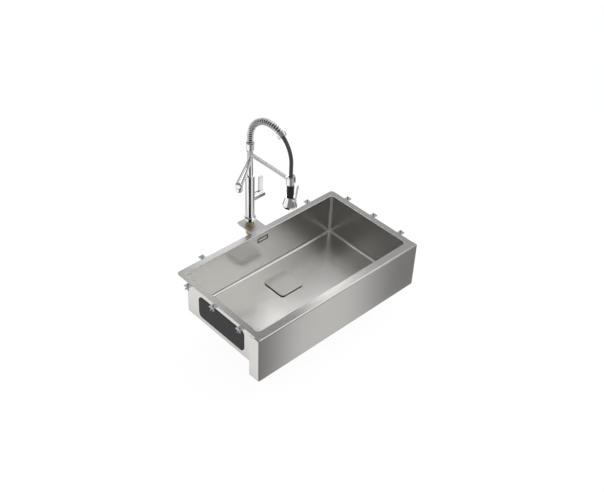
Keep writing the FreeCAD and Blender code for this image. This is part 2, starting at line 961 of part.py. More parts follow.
def lever_paddle():
    pivot = lever_pivot()
    low = lever_axis.z + lever_radius + paddle_lift
    middle_x = cap_start + paddle_width / 2
    face_y = lever_axis.y + paddle_thickness / 2
    centre = Vector(middle_x, face_y, low + paddle_height / 2)
    blade = rounded_plate(centre, right, up, paddle_width, paddle_height, paddle_radius, paddle_thickness)
    rims = [edge for edge in blade.Edges if edge.BoundBox.YLength < tolerance]
    blade = blade.makeFillet(paddle_edge, rims)
    half = paddle_foot_width / 2
    foot = box(pivot.x - half, pivot.x + half, face_y - paddle_thickness, face_y,
               pivot.z - paddle_foot_depth, low + paddle_radius)
    paddle = blade.fuse(foot)
    return paddle.cut(rod(pivot - back * lever_radius, back, lever_pin_radius + pin_gap, 2 * lever_radius))


def riser_tube():
    start = column_top - riser_socket
    return turned(tap, [
        (riser_bore, start),
        (riser_radius, start),
        (riser_radius, step_level),
        (riser_upper_radius, step_level),
        (riser_upper_radius, riser_top - hose_end_gap),
        (riser_bore, riser_top - hose_end_gap),
    ])


def slip_washers():
    washers = []
    for level in (step_level, spout_collar_top + free_gap):
        washers.append(ring(tap + up * level, up, riser_radius, riser_upper_radius + fit_gap, slip_washer))
    return washers


def spout_direction():
    angle = math.radians(spout_turn)
    return right * -math.sin(angle) - back * math.cos(angle)


def spout_axis():
    return tap + up * (spout_level + spout_collar_height / 2)


def swivel_spout():
    axis = spout_axis()
    way = spout_direction()
    low = tap + up * spout_level
    length = spout_reach + spout_nose
    bar = Part.makeCone(spout_root_radius, spout_end_radius, length, axis, way)
    nose = [edge for edge in bar.Edges if edge.Closed and edge.Curve.Radius > spout_end_radius - tolerance]
    spout = rod(low, up, riser_radius, spout_collar_height).fuse(bar.makeFillet(spout_nose_edge, nose))
    tip = axis + way * spout_reach - up * nozzle_reach_down
    spout = spout.fuse(rod(tip, up, nozzle_outer_radius, nozzle_reach_down))
    spout = spout.cut(rod(tip, up, aerator_radius + fit_gap, aerator_height / 2))
    spout = spout.cut(rod(low, up, riser_upper_radius + fit_gap, spout_collar_height))
    return spout.removeSplitter()


def spout_aerator():
    tip = spout_axis() + spout_direction() * spout_reach - up * (nozzle_reach_down + aerator_height / 2)
    aerator = rod(tip, up, aerator_radius, aerator_height)
    return aerator.cut(rod(tip, up, aerator_bore, aerator_height / 2))


def dock_arm():
    low = tap + up * dock_level
    arm = rod(low, up, riser_radius, dock_collar_height)
    far = head.y + fork_radius * math.cos(math.asin(dock_arm_width / 2 / fork_radius))
    centre = Vector(0, far, tap.z + arm_level)
    bar = rounded_plate(centre, up, right, dock_arm_height, dock_arm_width, dock_arm_edge, tap_offset - far)
    arm = arm.fuse(bar)
    arm = arm.cut(rod(low, up, riser_upper_radius + fit_gap, dock_collar_height))
    start = head + up * (arm_level - fork_height / 2)
    return arm.cut(rod(start, up, fork_radius, fork_height)).removeSplitter()


def dock_fork():
    start = head + up * (arm_level - fork_height / 2)
    front = head.y - fork_front
    z1 = start.z + fork_height
    block = rod(start, up, fork_radius, fork_height)
    block = block.cut(box(-fork_radius, fork_radius, head.y - fork_radius, front, start.z, z1))
    block = block.cut(rod(start, up, fork_slot_radius, fork_height))
    slot = box(-fork_slot_radius, fork_slot_radius, head.y - fork_radius, head.y, start.z, z1)
    return block.cut(slot)


def spring_seat_bore():
    return spring_radius + spring_wire_radius + free_gap


def spring_socket():
    bore = riser_upper_radius + fit_gap
    seat = spring_seat_bore()
    return turned(tap, [
        (bore, dock_top),
        (riser_radius, dock_top),
        (socket_radius, dock_top + socket_taper),
        (socket_radius, socket_top),
        (seat, socket_top),
        (seat, riser_top),
        (bore, riser_top),
    ])


def arch_point(angle, radius):
    hub = tap + up * arch_level - back * arch_radius
    return hub + back * (radius * math.cos(angle)) + up * (radius * math.sin(angle))


def ring_angle():
    return math.radians(spring_sweep) + end_ring_length / 2 / arch_radius


def arch_hose():
    start = tap + up * riser_top
    enter = arch_point(0, arch_radius)
    end = ring_angle()
    path = [
        Part.LineSegment(start, enter).toShape(),
        Part.Arc(enter, arch_point(end / 2, arch_radius), arch_point(end, arch_radius)).toShape(),
    ]
    return swept(path, hose_radius, start, up)


def spray_hose():
    begin = ring_angle()
    half_turn = math.pi
    leave = arch_point(half_turn, arch_radius)
    end = head + up * (neck_level + neck_collar_height - neck_socket + free_gap)
    start = arch_point(begin, arch_radius)
    path = [
        Part.Arc(start, arch_point((begin + half_turn) / 2, arch_radius), leave).toShape(),
        Part.LineSegment(leave, end).toShape(),
    ]
    way = Vector(0, -math.sin(begin), math.cos(begin))
    return swept(path, hose_radius, start, way)


def spring_length():
    return arch_level - riser_top - spring_wire_radius + arch_radius * math.radians(spring_sweep)


def spring_point(length):
    # The middle of the wire, a length along the arch from the spring's seat.
    straight = arch_level - riser_top - spring_wire_radius
    turn = 2 * math.pi * length / spring_pitch
    if length < straight:
        middle = tap + up * (riser_top + spring_wire_radius + length)
        inward = back * -1
    else:
        angle = (length - straight) / arch_radius
        middle = arch_point(angle, arch_radius)
        inward = back * -math.cos(angle) - up * math.sin(angle)
    return middle + inward * (spring_radius * math.cos(turn)) + right * (spring_radius * math.sin(turn))


def spring_way(length):
    step = spring_pitch / 10000
    way = spring_point(length + step) - spring_point(length - step)
    return way.normalize()


def tangent_arc(start, way, end):
    chord = end - start
    inward = chord - way * chord.dot(way)
    inward.normalize()
    radius = chord.dot(chord) / (2 * chord.dot(inward))
    hub = start + inward * radius
    outward = (start + end) * 0.5 - hub
    outward.normalize()
    return Part.Arc(start, hub + outward * radius, end).toShape()


def biarc(start, way, end, end_way):
    chord = end - start
    both = way + end_way
    a = 2 * (1 - way.dot(end_way))
    b = 2 * chord.dot(both)
    c = -chord.dot(chord)
    reach_out = (math.sqrt(b * b - 4 * a * c) - b) / (2 * a)
    middle = (start + way * reach_out + end - end_way * reach_out) * 0.5
    return [tangent_arc(start, way, middle), tangent_arc(end, end_way * -1, middle)]


def least_spring_gap(total):
    # Least distance of the wire's middle line to itself, one turn and more away, less the wire.
    steps = 40
    count = int(total / spring_pitch * steps)
    points = [spring_point(total * k / count) for k in range(count + 1)]
    least = min((points[k + step] - points[k]).Length
                for k in range(count - 2 * steps) for step in range(steps - 8, steps + 9, 2))
    return least - 2 * spring_wire_radius


def arch_spring():
    total = spring_length()
    count = int(total / spring_pitch * spring_turn_pieces)
    marks = [total * k / count for k in range(count + 1)]
    edges = []
    for near, far in zip(marks, marks[1:]):
        edges.extend(biarc(spring_point(near), spring_way(near), spring_point(far), spring_way(far)))
    path = Part.Wire(Part.__sortEdges__(edges))
    pipe = Part.BRepOffsetAPI.MakePipeShell(path)
    pipe.add(Part.Wire(Part.makeCircle(spring_wire_radius, spring_point(0), spring_way(0))))
    pipe.build()
    pipe.makeSolid()
    print("spring turns", round(total / spring_pitch, 1), "least gap", round(least_spring_gap(total), 2))
    print("spring volume over wire", pipe.shape().Volume / (math.pi * spring_wire_radius ** 2 * path.Length))
    return pipe.shape()


def spring_end_ring():
    angle = ring_angle()
    way = Vector(0, -math.sin(angle), math.cos(angle))
    middle = arch_point(angle, arch_radius)
    start = middle - way * (end_ring_length / 2)
    sleeve = ring(start, way, end_ring_radius, hose_radius + free_gap, end_ring_length)
    rims = [edge for edge in sleeve.Edges if edge.Closed and edge.Curve.Radius > end_ring_radius - tolerance]
    sleeve = sleeve.makeFillet((end_ring_radius - spring_seat_bore()) / 2, rims)
    return sleeve.cut(rod(start, way, spring_seat_bore(), end_ring_seat))


def spray_neck():
    top = neck_level + neck_collar_height
    bore = hose_radius + fit_gap
    return turned(head, [
        (0, grip_top),
        (neck_radius, grip_top),
        (neck_radius, neck_level),
        (neck_collar_radius, neck_level),
        (neck_collar_radius - neck_collar_height / 4, top),
        (bore, top),
        (bore, top - neck_socket),
        (0, top - neck_socket),
    ])


def spray_grip():
    outline = [(0, bell_top), (grip_radius, bell_top)]
    middle = (bell_top + grip_top) / 2
    for k in range(grip_groove_count):
        level = middle + (k - (grip_groove_count - 1) / 2) * grip_groove_pitch
        outline.append((grip_radius, level - grip_groove))
        outline.append((grip_radius - grip_groove, level))
        outline.append((grip_radius, level + grip_groove))
    outline.append((grip_radius, grip_top))
    outline.append((0, grip_top))
    return turned(head, outline)


def trigger_pivot():
    return head + up * (bell_top - trigger_pivot_drop) - back * trigger_pivot_reach


def spray_bell():
    def spot(radius, drop):
        return head + right * radius + up * (bell_top - drop)
    flare = Part.Arc(spot(bell_top_radius, 0), spot(bell_waist_radius, bell_waist_drop),
                     spot(bell_radius, bell_shoulder_drop)).toShape()
    corners = [
        spot(bell_radius, bell_shoulder_drop),
        spot(bell_rim_radius, bell_height),
        spot(face_radius + fit_gap, bell_height),
        spot(face_radius + fit_gap, bell_height - face_thickness),
        spot(0, bell_height - face_thickness),
        spot(0, 0),
        spot(bell_top_radius, 0),
    ]
    lines = [Part.LineSegment(a, b).toShape() for a, b in zip(corners, corners[1:])]
    bell = Part.Face(Part.Wire([flare] + lines)).revolve(head, up, full_turn)
    pivot = trigger_pivot()
    inner = trigger_width / 2 + free_gap
    for side in (-1, 1):
        x = side * (inner + lug_thickness / 2) - lug_thickness / 2
        z0 = pivot.z - trigger_eye_radius
        z1 = pivot.z + trigger_eye_radius
        lug = box(x, x + lug_thickness, pivot.y, head.y, z0, z1)
        lug = lug.fuse(rod(Vector(x, pivot.y, pivot.z), right, trigger_eye_radius, lug_thickness))
        bell = bell.fuse(lug)
    span = inner + lug_thickness
    bell = bell.cut(rod(pivot - right * span, right, trigger_pin_radius + pin_gap / 2, 2 * span))
    return bell.removeSplitter()


def trigger_pin():
    span = trigger_width / 2 + free_gap + lug_thickness
    return rod(trigger_pivot() - right * span, right, trigger_pin_radius, 2 * span)


def spray_face():
    start = head + up * bell_bottom
    face = rod(start, up, face_radius, face_thickness)
    for row, count in enumerate(nozzle_counts):
        spot = start + right * (row * nozzle_pitch) - up * nozzle_height
        for nozzle in round_about(rod(spot, up, nozzle_radius, nozzle_height), start, count):
            face = face.fuse(nozzle)
    return face.removeSplitter()


def spray_trigger():
    pivot = trigger_pivot()
    half = trigger_thickness / 2
    x0 = -trigger_width / 2

    def spot(out, rise):
        return Vector(x0, head.y - out, head.z + bell_top + rise)
    foot = -trigger_pivot_drop
    points = [
        spot(trigger_pivot_reach + half, foot),
        spot(trigger_bend_reach + half, trigger_bend_rise),
        spot(trigger_tip_reach + half, trigger_tip_rise),
        spot(trigger_tip_reach - half, trigger_tip_rise),
        spot(trigger_bend_reach - half, trigger_bend_rise),
        spot(trigger_pivot_reach - half, foot),
    ]
    blade = Part.Face(Part.makePolygon(points + points[:1])).extrude(right * trigger_width)
    tip = Vector(x0, head.y - trigger_tip_reach, head.z + bell_top + trigger_tip_rise)
    eye = rod(Vector(x0, pivot.y, pivot.z), right, trigger_eye_radius, trigger_width)
    trigger = blade.fuse(eye).fuse(rod(tip, right, half, trigger_width))
    hole = rod(Vector(x0, pivot.y, pivot.z), right, trigger_pin_radius + pin_gap, trigger_width)
    return trigger.cut(hole).removeSplitter()


os.makedirs("parts", exist_ok=True)

save("bowl", bowl())
save("apron_panel", apron_panel())
save("apron_stiffeners", apron_stiffeners())
save("damping_pad_left", side_pad(-1))
save("damping_pad_right", side_pad(1))
save("damping_pads_back", back_pads())
save("damping_pads_floor", floor_pads())
save("mounting_clips", at_clips(mounting_clip()))
save("clip_studs", at_clips(clip_stud()))
save("clip_wing_nuts", at_clips(wing_nut()))

save("drain_cup", drain_cup())
save("drain_seal", drain_seal())
save("waste_seal", waste_seal())
save("waste_body", waste_body())
save("clamp_screw", clamp_screw())
save("strainer_basket", strainer_basket())
save("stopper_seal", stopper_seal())
save("basket_knob", basket_knob())
save("cover_plate", cover_plate())
save("cover_feet", cover_feet())

save("overflow_plate", overflow_plate())
save("overflow_seal", overflow_seal())
save("overflow_housing", overflow_housing())
save("overflow_pipe", overflow_pipe())
save("overflow_union_nuts", union_nuts())

save("tap_bracket", tap_bracket())
save("bracket_studs", bracket_studs())
save("bracket_nuts", bracket_nuts())
save("tap_base_seal", tap_base_seal())
save("tap_base_ring", tap_base_ring())
save("tap_shank", tap_shank())
save("tap_clamp_washer", tap_clamp_washer())
save("tap_clamp_nut", tap_clamp_nut())
save("tap_body", tap_body())
save("mixer_cartridge", mixer_cartridge())
save("cartridge_nut", cartridge_nut())
save("lever_cap", lever_cap())
save("lever_pin", lever_pin())
save("lever_paddle", lever_paddle())

save("riser_tube", riser_tube())
save("slip_washers", slip_washers())
save("swivel_spout", swivel_spout())
save("spout_aerator", spout_aerator())
save("dock_arm", dock_arm())
save("dock_fork", dock_fork())
save("spring_socket", spring_socket())
save("arch_hose", arch_hose())
save("arch_spring", arch_spring())
save("spring_end_ring", spring_end_ring())
save("spray_hose", spray_hose())

save("spray_neck", spray_neck())
save("spray_grip", spray_grip())
save("spray_bell", spray_bell())
save("spray_face", spray_face())
save("trigger_pin", trigger_pin())
save("spray_trigger", spray_trigger())
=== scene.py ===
# %% [markdown]
# An apron-front kitchen sink with its spring tap, dressed for a product picture.
# The steel sheets, the waste and the tap's turned pieces come in as exact solids, and they only
# get their finishes here. The wound spring, the hose, the grip and the damping pads are soft or
# wound, so they are made here in full.
# Every size is in metres, in the frame of the solids: X to the right, Y to the back, Z up.

import math

import bpy
from mathutils import Matrix, Vector


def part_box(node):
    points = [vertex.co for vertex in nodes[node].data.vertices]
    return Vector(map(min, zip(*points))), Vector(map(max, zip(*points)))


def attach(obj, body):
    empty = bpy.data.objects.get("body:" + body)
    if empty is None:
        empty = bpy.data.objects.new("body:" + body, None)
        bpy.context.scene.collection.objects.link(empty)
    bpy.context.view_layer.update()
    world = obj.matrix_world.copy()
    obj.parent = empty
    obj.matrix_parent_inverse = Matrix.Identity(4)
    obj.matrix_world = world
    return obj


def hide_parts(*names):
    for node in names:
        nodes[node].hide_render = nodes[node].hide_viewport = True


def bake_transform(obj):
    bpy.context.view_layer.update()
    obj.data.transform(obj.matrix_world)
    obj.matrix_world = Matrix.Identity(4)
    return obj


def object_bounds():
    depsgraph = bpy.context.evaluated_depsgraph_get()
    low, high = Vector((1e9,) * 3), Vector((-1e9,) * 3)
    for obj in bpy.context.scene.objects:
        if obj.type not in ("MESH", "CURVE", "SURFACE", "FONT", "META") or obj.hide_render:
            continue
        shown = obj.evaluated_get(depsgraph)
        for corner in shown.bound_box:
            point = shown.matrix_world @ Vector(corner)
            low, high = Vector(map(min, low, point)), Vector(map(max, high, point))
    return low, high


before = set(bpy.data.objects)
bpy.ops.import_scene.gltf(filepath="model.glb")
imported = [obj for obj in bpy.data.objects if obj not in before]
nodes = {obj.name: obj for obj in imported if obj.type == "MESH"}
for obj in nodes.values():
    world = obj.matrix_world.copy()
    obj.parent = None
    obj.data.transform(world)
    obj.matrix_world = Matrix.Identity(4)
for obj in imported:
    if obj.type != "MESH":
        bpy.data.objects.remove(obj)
cad_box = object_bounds()

# %% [markdown]
# Finishes and repeated shapes are both written as nodes.
# Typing each node and link by hand hides the idea of a pattern, so a socket is wrapped in a small
# class instead. A sum of two wrapped sockets adds the Math node for it, and a pattern then reads
# like the formula it is.


# %% A socket that can be added up
class Signal:
    """A socket that carries a value. Sums on it add Math nodes."""

    def __init__(self, sheet, socket):
        self.sheet = sheet
        self.socket = socket

    def out(self, name):
        return Signal(self.sheet, self.socket.node.outputs[name])

    def __add__(self, other):
        return self.sheet.maths("ADD", self, other)

    def __radd__(self, other):
        return self.sheet.maths("ADD", other, self)

    def __sub__(self, other):
        return self.sheet.maths("SUBTRACT", self, other)

    def __rsub__(self, other):
        return self.sheet.maths("SUBTRACT", other, self)

    def __mul__(self, other):
        return self.sheet.maths("MULTIPLY", self, other)

    def __rmul__(self, other):
        return self.sheet.maths("MULTIPLY", other, self)

    def __truediv__(self, other):
        return self.sheet.maths("DIVIDE", self, other)

    def __rtruediv__(self, other):
        return self.sheet.maths("DIVIDE", other, self)

    def __gt__(self, other):
        return self.sheet.maths("GREATER_THAN", self, other)

    def __lt__(self, other):
        return self.sheet.maths("LESS_THAN", self, other)


print("reflected sums:", [name for name in vars(Signal) if name.startswith("__r")])

# %% [markdown]
# All nodes come from one method, which takes a node's kind, its settings, and the values or links
# of its sockets. Settings go first, because some of them, such as a Mix node's data type, decide
# which sockets are live.
# The few steps that every pattern needs, such as a mix of two colours or a soft step, get short
# names of their own.


# %% A sheet of nodes
class NodeSheet:
    """The nodes of one finish, one shape or the room."""

    def __init__(self, tree):
        self.tree = tree
        tree.nodes.clear()

    def node(self, kind, settings=None, sockets=None, out=0):
        made = self.tree.nodes.new(kind)
        for name, value in (settings or {}).items():
            setattr(made, name, value)
        for key, value in (sockets or {}).items():
            if isinstance(value, Signal):
                self.tree.links.new(value.socket, made.inputs[key])
            else:
                made.inputs[key].default_value = value
        return Signal(self, made.outputs[out]) if made.outputs else None

    def maths(self, operation, *values):
        return self.node("ShaderNodeMath", {"operation": operation}, dict(enumerate(values)))

    def mixed(self, share, first, second):
        # A Mix node has sockets for every type of data: colours go in at 6 and 7 and out at 2.
        return self.node("ShaderNodeMix", {"data_type": "RGBA"},
                         {0: share, 6: first, 7: second}, out=2)

    def vector(self, x, y, z):
        return self.node("ShaderNodeCombineXYZ", None, {0: x, 1: y, 2: z})

    def parts(self, vector):
        return self.node("ShaderNodeSeparateXYZ", None, {0: vector})

    def eased(self, value, start, end, top, foot=0.0):
        # A soft step from foot to top, while the value goes from start to end.
        return self.node("ShaderNodeMapRange", {"interpolation_type": "SMOOTHSTEP"},
                         {0: value, 1: start, 2: end, 3: foot, 4: top})


print("node helper ready")

# %% [markdown]
# A finish is a shader on the solid's own coordinates, so that its grain has a real size in metres.
# Each one starts from the place on the piece, makes its patterns, and closes with the surface
# shader. The patterns feed colour, roughness and a small bump, and plain numbers are set on the
# shader itself.


# %% A finish
class Finish(NodeSheet):
    """A named material with procedural patterns."""

    def __init__(self, name):
        self.material = bpy.data.materials.new(name)
        self.material.use_nodes = True
        super().__init__(self.material.node_tree)
        self.place = self.node("ShaderNodeTexCoord").out("Object")

    def stretched(self, scale):
        return self.node("ShaderNodeMapping", None, {"Vector": self.place, "Scale": scale})

    def noise(self, scale=1.0, detail=2.0, along=None):
        where = self.stretched(along) if along else self.place
        return self.node("ShaderNodeTexNoise", None,
                         {"Vector": where, "Scale": scale, "Detail": detail})

    def cells(self, scale):
        return self.node("ShaderNodeTexVoronoi", None, {"Vector": self.place, "Scale": scale})

    def ridges(self, turns):
        return self.maths("ABSOLUTE", self.maths("FRACT", turns) - 0.5) * 2

    def relief(self, height, depth, strength=1.0):
        return self.node("ShaderNodeBump", None,
                         {"Height": height, "Distance": depth, "Strength": strength})

    def close(self, **sockets):
        named = {key.replace("_", " "): value for key, value in sockets.items()}
        shader = self.node("ShaderNodeBsdfPrincipled", None, named)
        self.node("ShaderNodeOutputMaterial", None, {"Surface": shader})
        return self.material


def tone(red, green, blue):
    return (red, green, blue, 1.0)


print("finish helper ready")

# %% [markdown]
# Two details of the steel belong to certain places on it.
# The bowl's round bends are a little rougher than its walls, and their tone is paler: a painted
# highlight that stands in for the bright lines which the bends mirror. A bend is where the surface
# looks along none of the three axes, which its normal tells without any drawing.
# The overflow's opening and its plate are cut by laser, with a narrow gap between them. The cut
# edges, and a millimetre of steel on both sides of the gap, are painted dark: painted shade that
# widens the shade in the gap and outlines the overflow. That outline is a small box with a smaller
# box taken out of it, both about the middle of the opening and given by half their width and
# height.


# %% Painted bend highlights and painted gap shade
bend_starts, bend_full = 0.01, 0.10
back_wall = 0.199
overflow_drop = 0.031
# Half sizes of the painted shade round the overflow's gap, outer and inner.
gap_shade_to = (0.0270, 0.0105)
gap_shade_from = (0.0218, 0.0053)


def bend_of(steel, facing):
    x, y, z = [steel.maths("ABSOLUTE", facing.out(axis)) for axis in "XYZ"]
    flatness = steel.maths("MAXIMUM", steel.maths("MAXIMUM", x, y), z)
    return steel.eased(1 - flatness, bend_starts, bend_full, 1.0)


def gap_shade_of(steel):
    place = steel.parts(steel.place)
    aside = steel.maths("ABSOLUTE", place.out("X"))
    above = steel.maths("ABSOLUTE", place.out("Z") + overflow_drop)
    outer, inner = [(aside < half_width) * (above < half_height)
                    for half_width, half_height in (gap_shade_to, gap_shade_from)]
    return outer * (1 - inner) * (place.out("Y") > back_wall)


print("burnt outline:", [round(2000 * half, 1) for half in gap_shade_to], "mm")

# %% [markdown]
# The bowl and the apron are satin stainless sheet, brushed along their length before folding.
# The grain is a noise drawn out to long thin streaks, and it runs along X on the faces that look
# up, front and back. The end walls look along X, where such streaks would end as dots, so the
# grain runs along Y there.
# A slow second noise makes the faint cloudy patches that handling leaves in a satin surface.
# The loose drain cover comes from another press and is a little darker and duller, so it gets its
# own pair of tones.


# %% Brushed stainless
grain_along, grain_across = 14.0, 1600.0
end_wall_from = 0.7
# The pale tone of the bends is a painted highlight.
bend_highlight_tone = tone(0.93, 0.925, 0.91)
# The dark tone round the overflow is painted shade.
gap_shade_tone = tone(0.035, 0.035, 0.034)


def brushed_steel(name, dark, light, least_rough, painted_bend_highlights=False):
    steel = Finish(name)
    facing = steel.parts(steel.node("ShaderNodeNewGeometry").out("Normal"))
    end_wall = steel.maths("ABSOLUTE", facing.out("X")) > end_wall_from
    along_x = steel.noise(detail=3.0, along=(grain_along, grain_across, grain_across))
    along_y = steel.noise(detail=3.0, along=(grain_across, grain_along, grain_across))
    grain = along_x + (along_y - along_x) * end_wall
    cloud = steel.noise(scale=3.5)
    colour = steel.mixed(grain, dark, light)
    rough = least_rough + grain * 0.06 + cloud * 0.05
    # With this flag the bends take a pale tone, which is a painted highlight, and a little more
    # roughness.
    if painted_bend_highlights:
        bend = bend_of(steel, facing)
        colour = steel.mixed(bend, colour, bend_highlight_tone)
        rough = rough + bend * 0.12
    # Painted shade darkens the steel round the overflow's gap.
    gap_shade = gap_shade_of(steel)
    colour = steel.mixed(gap_shade, colour, gap_shade_tone)
    return steel.close(Base_Color=colour, Metallic=1.0, Roughness=rough + gap_shade * 0.3,
                       Normal=steel.relief(grain, depth=0.00002, strength=0.10))


sheet_dark, sheet_light = tone(0.575, 0.568, 0.550), tone(0.645, 0.637, 0.617)
cover_dark, cover_light = tone(0.545, 0.538, 0.521), tone(0.605, 0.598, 0.579)
stainless = brushed_steel("brushed_stainless", sheet_dark, sheet_light, least_rough=0.19)
# The bowl's bends carry a painted highlight.
bowl_steel = brushed_steel("bowl_stainless", sheet_dark, sheet_light, least_rough=0.19,
                           painted_bend_highlights=True)
cover_steel = brushed_steel("cover_stainless", cover_dark, cover_light, least_rough=0.30)
print("finishes:", stainless.name, bowl_steel.name, cover_steel.name)

# %% [markdown]
# The tap is polished brass under bright chrome, which is close to a mirror.
# Chrome is never quite even, so a slow noise varies its gloss as wiped water marks do.
# The lever's paddle, the spray trigger and the arm are satin chrome instead, which wet fingers
# don't mark so easily. Satin is rougher and mirrors little, so it looks even from any side, and
# the paddle is the palest of the three.


# %% Chrome
def bright_chrome():
    chrome = Finish("bright_chrome")
    wiped = chrome.noise(scale=38.0, detail=3.0)
    film = chrome.noise(scale=9.0)
    colour = chrome.mixed(film, tone(0.73, 0.735, 0.74), tone(0.80, 0.805, 0.81))
    return chrome.close(Base_Color=colour, Metallic=1.0, Roughness=0.035 + wiped * 0.05)


def satin_chrome(name, dark, light, metallic, least_rough):
    chrome = Finish(name)
    wiped = chrome.noise(scale=38.0, detail=3.0)
    return chrome.close(Base_Color=chrome.mixed(wiped, dark, light), Metallic=metallic,
                        Roughness=least_rough + wiped * 0.08)


polished_chrome = bright_chrome()
paddle_chrome = satin_chrome("paddle_chrome", tone(0.82, 0.825, 0.83), tone(0.89, 0.895, 0.90),
                             metallic=0.45, least_rough=0.14)
arm_chrome = satin_chrome("arm_chrome", tone(0.61, 0.615, 0.62), tone(0.69, 0.695, 0.70),
                          metallic=0.45, least_rough=0.34)
print("finishes:", polished_chrome.name, paddle_chrome.name, arm_chrome.name)

# %% [markdown]
# The clips, nuts and the tap's bracket are zinc-plated steel, pale grey with a faint cool spangle.
# The studs have the same plate over a screw thread, and pins are ground steel.
# A thread could be cut in the mesh, but a steady wave up the stud, used as relief, shows the same
# at this size.


# %% Plated and ground steel
def zinc_tones(zinc):
    spangle = zinc.cells(scale=420.0).out("Color")
    grey = zinc.node("ShaderNodeSeparateColor", None, {0: spangle}).out("Red")
    return zinc.mixed(grey, tone(0.54, 0.56, 0.58), tone(0.70, 0.71, 0.71))


def zinc_plate():
    zinc = Finish("zinc_plate")
    dull = zinc.noise(scale=60.0, detail=4.0)
    return zinc.close(Base_Color=zinc_tones(zinc), Metallic=1.0, Roughness=0.34 + dull * 0.2,
                      Normal=zinc.relief(dull, depth=0.00005, strength=0.4))


def zinc_thread(pitch, depth):
    zinc = Finish("zinc_thread")
    dull = zinc.noise(scale=60.0, detail=4.0)
    height = zinc.parts(zinc.place).out("Z")
    return zinc.close(Base_Color=zinc_tones(zinc), Metallic=1.0, Roughness=0.3 + dull * 0.2,
                      Normal=zinc.relief(zinc.ridges(height / pitch), depth))


def ground_steel():
    steel = Finish("ground_steel")
    lines = steel.noise(along=(2600.0, 60.0, 2600.0))
    colour = steel.mixed(lines, tone(0.50, 0.50, 0.50), tone(0.64, 0.64, 0.64))
    return steel.close(Base_Color=colour, Metallic=1.0, Roughness=0.2 + lines * 0.15)


plated_zinc = zinc_plate()
threaded_zinc = zinc_thread(pitch=0.0010, depth=0.0004)
ground = ground_steel()
print("finishes:", plated_zinc.name, threaded_zinc.name, ground.name)

# %% [markdown]
# The tap's shank and its nuts are machined brass, with fine turning lines and some tarnish in
# patches. The shank is threaded over its full length, and its thread climbs as it goes round. So
# the wave there takes the height and the angle about the tap's upright axis together, which makes
# one true helix.


# %% Brass
tap_line = 0.275


def brass_tones(brass, tarnish):
    rings = brass.noise(along=(90.0, 90.0, 3200.0))
    fresh = brass.mixed(rings, tone(0.70, 0.50, 0.21), tone(0.82, 0.63, 0.32))
    return brass.mixed(tarnish * 0.35, fresh, tone(0.42, 0.27, 0.10))


def machined_brass():
    brass = Finish("machined_brass")
    tarnish = brass.noise(scale=45.0, detail=4.0)
    return brass.close(Base_Color=brass_tones(brass, tarnish), Metallic=1.0,
                       Roughness=0.24 + tarnish * 0.18,
                       Normal=brass.relief(tarnish, depth=0.00003, strength=0.5))


def shank_thread(pitch, depth):
    brass = Finish("shank_thread")
    tarnish = brass.noise(scale=45.0, detail=4.0)
    place = brass.parts(brass.place)
    angle = brass.maths("ARCTAN2", place.out("Y") - tap_line, place.out("X"))
    climb = place.out("Z") / pitch - angle / (2 * math.pi)
    return brass.close(Base_Color=brass_tones(brass, tarnish), Metallic=1.0,
                       Roughness=0.24 + tarnish * 0.18,
                       Normal=brass.relief(brass.ridges(climb), depth))


turned_brass = machined_brass()
threaded_brass = shank_thread(pitch=0.0015, depth=0.0006)
print("finishes:", turned_brass.name, threaded_brass.name)

# %% [markdown]
# Rubber and plastics have little gloss of their own, so their small relief is what makes them
# read. The pads are pressed bitumen rubber with a coarse grain, and the seals are soft and even.
# The spray face is black moulded plastic with a spark-eroded texture, and the waste is pale
# polypropylene. All of them are the same few nodes with other numbers, so one function makes them.


# %% Rubber and plastics
def grained(name, dark, light, rough, grain_size, depth):
    stuff = Finish(name)
    grain = stuff.cells(scale=1.0 / grain_size)
    patches = stuff.noise(scale=24.0, detail=4.0)
    colour = stuff.mixed(patches, dark, light)
    return stuff.close(Base_Color=colour, Metallic=0.0, Roughness=rough + patches * 0.12,
                       Normal=stuff.relief(grain, depth, strength=0.6))


pad_rubber = grained("pad_rubber", tone(0.030, 0.030, 0.033), tone(0.058, 0.058, 0.062),
                     rough=0.72, grain_size=0.0022, depth=0.0002)
soft_seal = grained("soft_seal", tone(0.010, 0.010, 0.010), tone(0.022, 0.022, 0.022),
                    rough=0.62, grain_size=0.0009, depth=0.00004)
grip_rubber = grained("grip_rubber", tone(0.010, 0.010, 0.011), tone(0.024, 0.024, 0.026),
                      rough=0.44, grain_size=0.0007, depth=0.00003)
black_moulding = grained("black_moulding", tone(0.010, 0.010, 0.011), tone(0.020, 0.020, 0.021),
                         rough=0.38, grain_size=0.0006, depth=0.00003)
white_moulding = grained("white_moulding", tone(0.62, 0.62, 0.60), tone(0.72, 0.72, 0.70),
                         rough=0.36, grain_size=0.0008, depth=0.00003)
cartridge_white = grained("cartridge_white", tone(0.50, 0.50, 0.46), tone(0.60, 0.60, 0.56),
                          rough=0.34, grain_size=0.0008, depth=0.00003)
rubbers = [pad_rubber, soft_seal, grip_rubber]
plastics = [black_moulding, white_moulding, cartridge_white]
print("finishes:", [finish.name for finish in rubbers + plastics])

# %% [markdown]
# Each solid now gets the finish its real piece has.
# The record of the part already names a material slot for each node, but a maker thinks in pieces,
# so they are listed by finish. A piece that the list forgets is printed.

